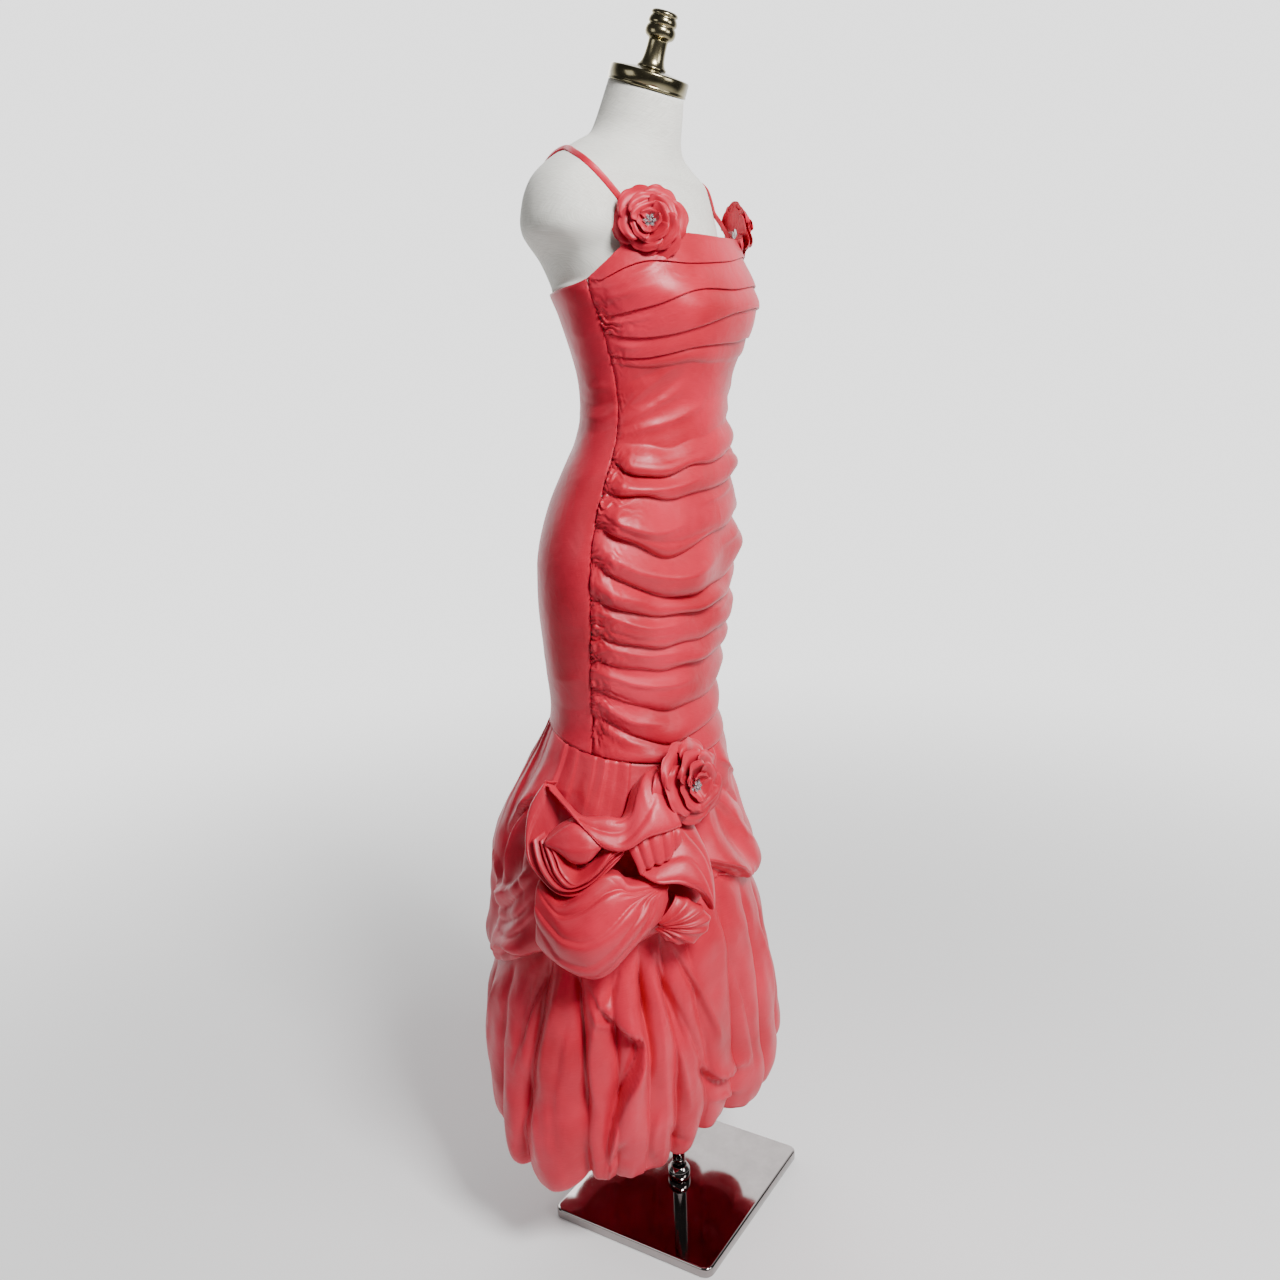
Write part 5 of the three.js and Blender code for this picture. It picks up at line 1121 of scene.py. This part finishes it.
def netGrid(piece):
    rows, columns = piece.get("grid", netUsual["grid"])
    lines = piece["lines"]
    along = np.linspace(0, 1, columns)
    spread = np.stack([pointsAlong(line, along) for line in lines])
    across = np.linspace(0, len(lines) - 1, rows)
    net = np.empty((rows, columns, 3))
    for column in range(columns):
        for k in range(3):
            net[:, column, k] = curveThrough(np.arange(len(lines)), spread[:, column, k], across)
    grid = gownPoint(net[..., 0], net[..., 1], net[..., 2])
    tall, wide = piece["size"]
    s = np.broadcast_to(np.linspace(0, 1, rows)[:, None], (rows, columns))
    t = np.broadcast_to(along[None, :], (rows, columns))
    lift = foldLines(t * wide, -s * tall, piece.get("folds", []))
    uneven = wander(t * wide, s * tall, len(lines[0]) * 7 + rows, 34)
    lift = lift + netUsual["unevenness"] * uneven * np.sin(math.pi * s)
    if "ribs" in piece:
        count, depth = piece["ribs"]
        rib = np.abs(np.sin(math.pi * count * (t + 0.06 * s))) - 0.6
        lift = lift + depth * rib * ease(0.05, 0.4, s) * (1 - ease(0.8, 1, s))
    return grid + gridNormals(grid, False) * lift[..., None]


def makeRosette():
    nestRims()
    for name, piece in rosette.items():
        grid = netGrid(piece)
        centre = grid.shape[0] // 2, grid.shape[1] // 2
        outward = grid[centre][:2] - np.array([0, 55])
        if np.dot(gridNormals(grid, False)[centre][:2], outward) < 0:
            grid = grid[:, ::-1]
        cloth = makeCloth("rosette" + name.capitalize(), grid, netUsual["wall"], False, satin)
        finishPiece(cloth, "satin", *([piece["node"]] if "node" in piece else []))


makeRosette()
print("rosette made")


# Flowers: curled petals in rings round a cluster of cut stones

flowers = {
    "Right": {"around": -50, "on": 1400, "up": 1415, "out": 2.6, "turn": -56, "rise": 8, "radius": 48, "seed": 4},
    "Left": {"around": 49, "on": 1400, "up": 1418, "out": 3.0, "turn": 48, "rise": 4, "radius": 42, "seed": 9},
    "Knee": {"around": -28, "on": 708, "up": 708, "out": 27, "turn": -12, "rise": 4, "radius": 68, "seed": 14}}
petal = {"rows": 17, "columns": 17, "wall": 0.55, "lap": 0.17, "uneven": 0.08, "radius": 48}
petalKeys = ("petals", "length", "width", "start", "tilt", "cup", "curl", "lift", "turn")
petalRings = {  # sizes are for a flower of that radius; cut: length of the strip, and width for each petal
    "Outer": {"cut": (0.18, 0.0102),
              "rings": [(6, 48, 25, 5, 4, 5, 6.5, -3, 0.0), (5, 39, 22, 5, 15, 6, 6, 1.5, 0.45)]},
    "Inner": {"cut": (0.11, 0.0068),
              "rings": [(4, 29, 19, 5, 27, 7, 5, 3.5, 0.2), (3, 20, 13, 6, 46, 6, 3, 4.5, 0.7)]}}


def petalPoints(ring, size, random):
    s = np.linspace(0, 1, petal["rows"])[:, None]
    u = np.linspace(-1, 1, petal["columns"])[None, :]
    width = ring["width"] * size * random.uniform(0.92, 1.1)
    length = ring["length"] * size * random.uniform(0.94, 1.05)
    breadth = width * (0.3 + 0.7 * np.sin(math.pi / 2 * np.minimum(1, s / 0.62)))
    dent = 1 - 0.05 * np.exp(-((u - random.uniform(-0.4, 0.4)) / 0.22) ** 2) * s ** 6
    rounded = 1 - 0.6 * (1 - np.sqrt(1 - 0.97 * u * u)) * s
    radial = ring["start"] * size + (length - ring["start"] * size) * s * dent * rounded
    lateral = breadth * u
    rolled = ease(0.62, 1, s)
    edge = ease(0.6, 1, np.abs(u)) * ease(0.2, 0.7, s)
    bend = ring["cup"] * size * (u * u * 0.9 + s * s * 0.5)
    bend = bend - ring["curl"] * size * (rolled ** 1.5 + 0.5 * edge * edge)
    ruffle = 1.3 * size * np.sin(u * 5.2 + random.uniform(0, 6)) * s ** 2
    radial = radial - ring["curl"] * size * 0.35 * rolled ** 2
    tilt = math.radians(ring["tilt"] + random.uniform(-5, 5))
    height = bend + ruffle
    x = radial * math.cos(tilt) - height * math.sin(tilt)
    z = radial * math.sin(tilt) + height * math.cos(tilt) + ring["lift"] * size
    return np.stack(np.broadcast_arrays(x, lateral, z), -1)


def makePetals(rings, size, random):  # closed thin petals, each lapping over the next one
    points, faces, lengths, base = [], [], [], 0
    for ring in rings:
        for k in range(ring["petals"]):
            shift = random.uniform(-petal["uneven"], petal["uneven"])
            around = (k + ring["turn"] + shift) * 2 * math.pi / ring["petals"]
            x, y, z = np.moveaxis(petalPoints(ring, size, random), -1, 0)
            c, s = math.cos(around), math.sin(around)
            outer = np.stack([x * c - y * s, x * s + y * c, z + petal["lap"] * y], -1)
            inner = outer - gridNormals(outer, False) * petal["wall"]
            points += [outer.reshape(-1, 3), inner.reshape(-1, 3)]
            lengths += [clothLengths(outer).reshape(-1, 2)] * 2
            faces.append(wallFaces(petal["rows"], petal["columns"], False) + base)
            base += 2 * petal["rows"] * petal["columns"]
    return np.concatenate(points), np.concatenate(faces), np.concatenate(lengths)


def makeFlowers():
    for name, seat in flowers.items():
        size = seat["radius"] / petal["radius"]
        centre = gownPoint(float(seat["around"]), float(seat["on"]), float(seat["out"]))
        place = Matrix.Translation((centre[0], centre[1], seat["up"]))
        place = place @ Matrix.Rotation(math.radians(seat["turn"]), 4, "Z")
        place = place @ Matrix.Rotation(math.radians(90 - seat["rise"]), 4, "X")
        turned, shift = np.array(place.to_3x3()), np.array(place.translation)
        random = np.random.default_rng(seat["seed"])
        for layer, made in petalRings.items():
            rings = [dict(zip(petalKeys, ring)) for ring in made["rings"]]
            points, faces, lengths = makePetals(rings, size, random)
            petals = makeMesh(f"flower{name}{layer}", points @ turned.T + shift, faces, petalSatin, lengths)
            finishPiece(petals, "satin", f"flower_{name.lower()}_{layer.lower()}")
        makeJewel(name, place, size)


jewel = {"foot": 4, "stem": 6.4, "top": 9.5, "seat": 4.6, "dome": 0.035, "facets": 8,
         "stones": [(0, 1, 3.1), (5.6, 6, 2.5), (9.3, 9, 1.5)],  # ring radius, count, stone radius
         "cut": [(0.30, -0.9), (1.0, 0.0), (0.92, 0.35), (0.52, 0.85)],  # shares of the radius, out and up
         "rim": [(9.6, 0), (10.6, 0.6), (10.2, 1.2), (6.0, 1.6), (0, 2.0)]}


def makeJewel(name, place, size):
    points, faces = [], []
    top, facets, last = jewel["top"] * size, jewel["facets"], len(jewel["cut"]) - 1
    for ringRadius, count, radius in jewel["stones"]:
        for k in range(count):
            turn = 2 * math.pi * (k + 0.25 * (count > 6)) / count
            x, y = ringRadius * math.cos(turn), ringRadius * math.sin(turn)
            z = top + jewel["seat"] - jewel["dome"] * ringRadius ** 2
            base = len(points)
            for ring, (share, rise) in enumerate(jewel["cut"]):
                for step in range(facets):
                    spin = 2 * math.pi * (step + 0.5 * (ring == last)) / facets
                    points.append((x + radius * share * math.cos(spin), y + radius * share * math.sin(spin),
                                   z + radius * rise))
            for ring in range(last):
                for step in range(facets):
                    a, b = (base + ring * facets + k for k in (step, (step + 1) % facets))
                    faces.append((a, b, b + facets, a + facets))
            faces.append(tuple(base + last * facets + step for step in range(facets)))
            faces.append(tuple(base + facets - 1 - step for step in range(facets)))
    placed = [place @ Vector(point) for point in points]
    stones = makeMesh(f"stones{name}", placed, faces, stone, smooth=False)
    finishPiece(stones, "rhinestone", f"flower_{name.lower()}_jewel")
    foot = -jewel["foot"] * size
    cup = [(0, foot), (jewel["stem"], foot), (jewel["stem"], top - 2)]
    cup += [(radius, top + rise) for radius, rise in jewel["rim"]]
    finishPiece(lathe(f"cup{name}", cup, 40, silver, place), "rhinestone")


makeFlowers()
print("flowers made")


# Straps: narrow tubes of satin, pressed flat, laid over the shoulders

strap = {"front": -50, "back": -160, "frontSeat": 1.2, "backSeat": 2.0, "sink": 9, "proud": 0.6,
         "width": 7.4, "thick": 1.9, "wall": 0.4, "air": 1.2, "steps": 150, "sides": 16,
         "heart": (0, 20, 1400), "outside": 600, "touching": (0.3, 0.88),  # shares of its length that touch the form
         "route": [(-117, -42, 1430), (-121, -27, 1449), (-131, -15, 1467), (-138, 2, 1485), (-132, 24, 1500),
                   (-113, 50, 1508), (-94, 80, 1484), (-78, 106, 1444), (-62, 122, 1394)]}


def strapEnd(end):
    around = float(strap[end])
    return tuple(gownPoint(around, float(topHeight(around)) + strap[end + "Seat"] - strap["sink"], strap["proud"]))


def flattened(value, power):
    return math.copysign(abs(value) ** power, value)


def makeStraps():
    route = np.array([strapEnd("front"), *strap["route"], strapEnd("back")], float)
    keys = np.arange(len(route))
    at = np.linspace(0, len(route) - 1, strap["steps"])
    line = np.stack([curveThrough(keys, route[:, k], at) for k in range(3)], 1)
    heart = Vector(strap["heart"])
    for k in range(len(line)):
        point = Vector(line[k])
        outward = (point - heart).normalized()
        hit = formTree.ray_cast(heart + outward * strap["outside"], -outward)
        if hit[0] is None:
            continue
        floor = strap["outside"] - hit[3] + strap["air"] + strap["thick"] / 2
        first, last = strap["touching"]
        if floor > (point - heart).length or first < k / (len(line) - 1) < last:
            line[k] = heart + outward * floor
    for _ in range(3):
        line[1:-1] = (line[:-2] + 2 * line[1:-1] + line[2:]) / 4
    along = np.gradient(line, axis=0)
    outward = line - np.array(strap["heart"])
    across = np.cross(along, outward)
    across /= np.linalg.norm(across, axis=1, keepdims=True)
    over = np.cross(across, along)
    over /= np.linalg.norm(over, axis=1, keepdims=True)
    for name, node, mirror in (("strapRight", "strap_right", 1), ("strapLeft", "strap_left", -1)):
        rounds = []
        for k in range(strap["sides"]):
            turn = -mirror * 2 * math.pi * k / strap["sides"]
            a = flattened(math.cos(turn), 0.7) * strap["width"] / 2
            b = flattened(math.sin(turn), 0.8) * strap["thick"] / 2
            rounds.append(line + across * a + over * b)
        grid = np.stack(rounds, 1)
        grid[..., 0] *= mirror
        ribbon = makeCloth(name, grid, strap["wall"], True, satin)
        finishPiece(ribbon, "satin", node)


makeStraps()
print("straps made")


# Sewing: small stitches along both side seams

stitch = {"count": 160, "from": 0.004, "to": 0.996, "beside": 1.4, "out": -0.1, "share": 0.75, "wider": 0.06,
          "swell": [0.1, 0.28, 0.1]}  # half thickness at the start, middle and end of each stitch


def makeStitches():
    points, faces = [], []
    height = mix(kneeHeight(80.0), topHeight(86.0), np.linspace(stitch["from"], stitch["to"], stitch["count"]))
    around = curveThrough(sideSeam["height"], sideSeam["around"], height) + stitch["beside"]
    for side in (-1, 1):
        run = gownPoint(side * around, height, stitch["out"])
        for start, after in zip(run[:-1:2], run[1::2]):
            end = start + (after - start) * stitch["share"]
            along = (end - start) / np.linalg.norm(end - start)
            outward = np.array([start[0], start[1], 0.0])
            outward /= np.linalg.norm(outward)
            across = np.cross(along, outward)
            base = len(points)
            for place, swell in zip((start, mix(start, end, 0.5), end), stitch["swell"]):
                for a, b in ((-1, 0), (0, 1), (1, 0), (0, -1)):
                    points.append(tuple(place + across * a * (swell + stitch["wider"]) + outward * b * swell))
            for low in (base, base + 4):
                for c in range(4):
                    corner = (c + 1) % 4
                    faces.append((low + c, low + corner, low + 4 + corner, low + 4 + c))
            faces += [(base + 3, base + 2, base + 1, base), (base + 8, base + 9, base + 10, base + 11)]
    finishPiece(makeMesh("seamStitches", points, faces, thread), "satin")


makeStitches()
print("stitches made")
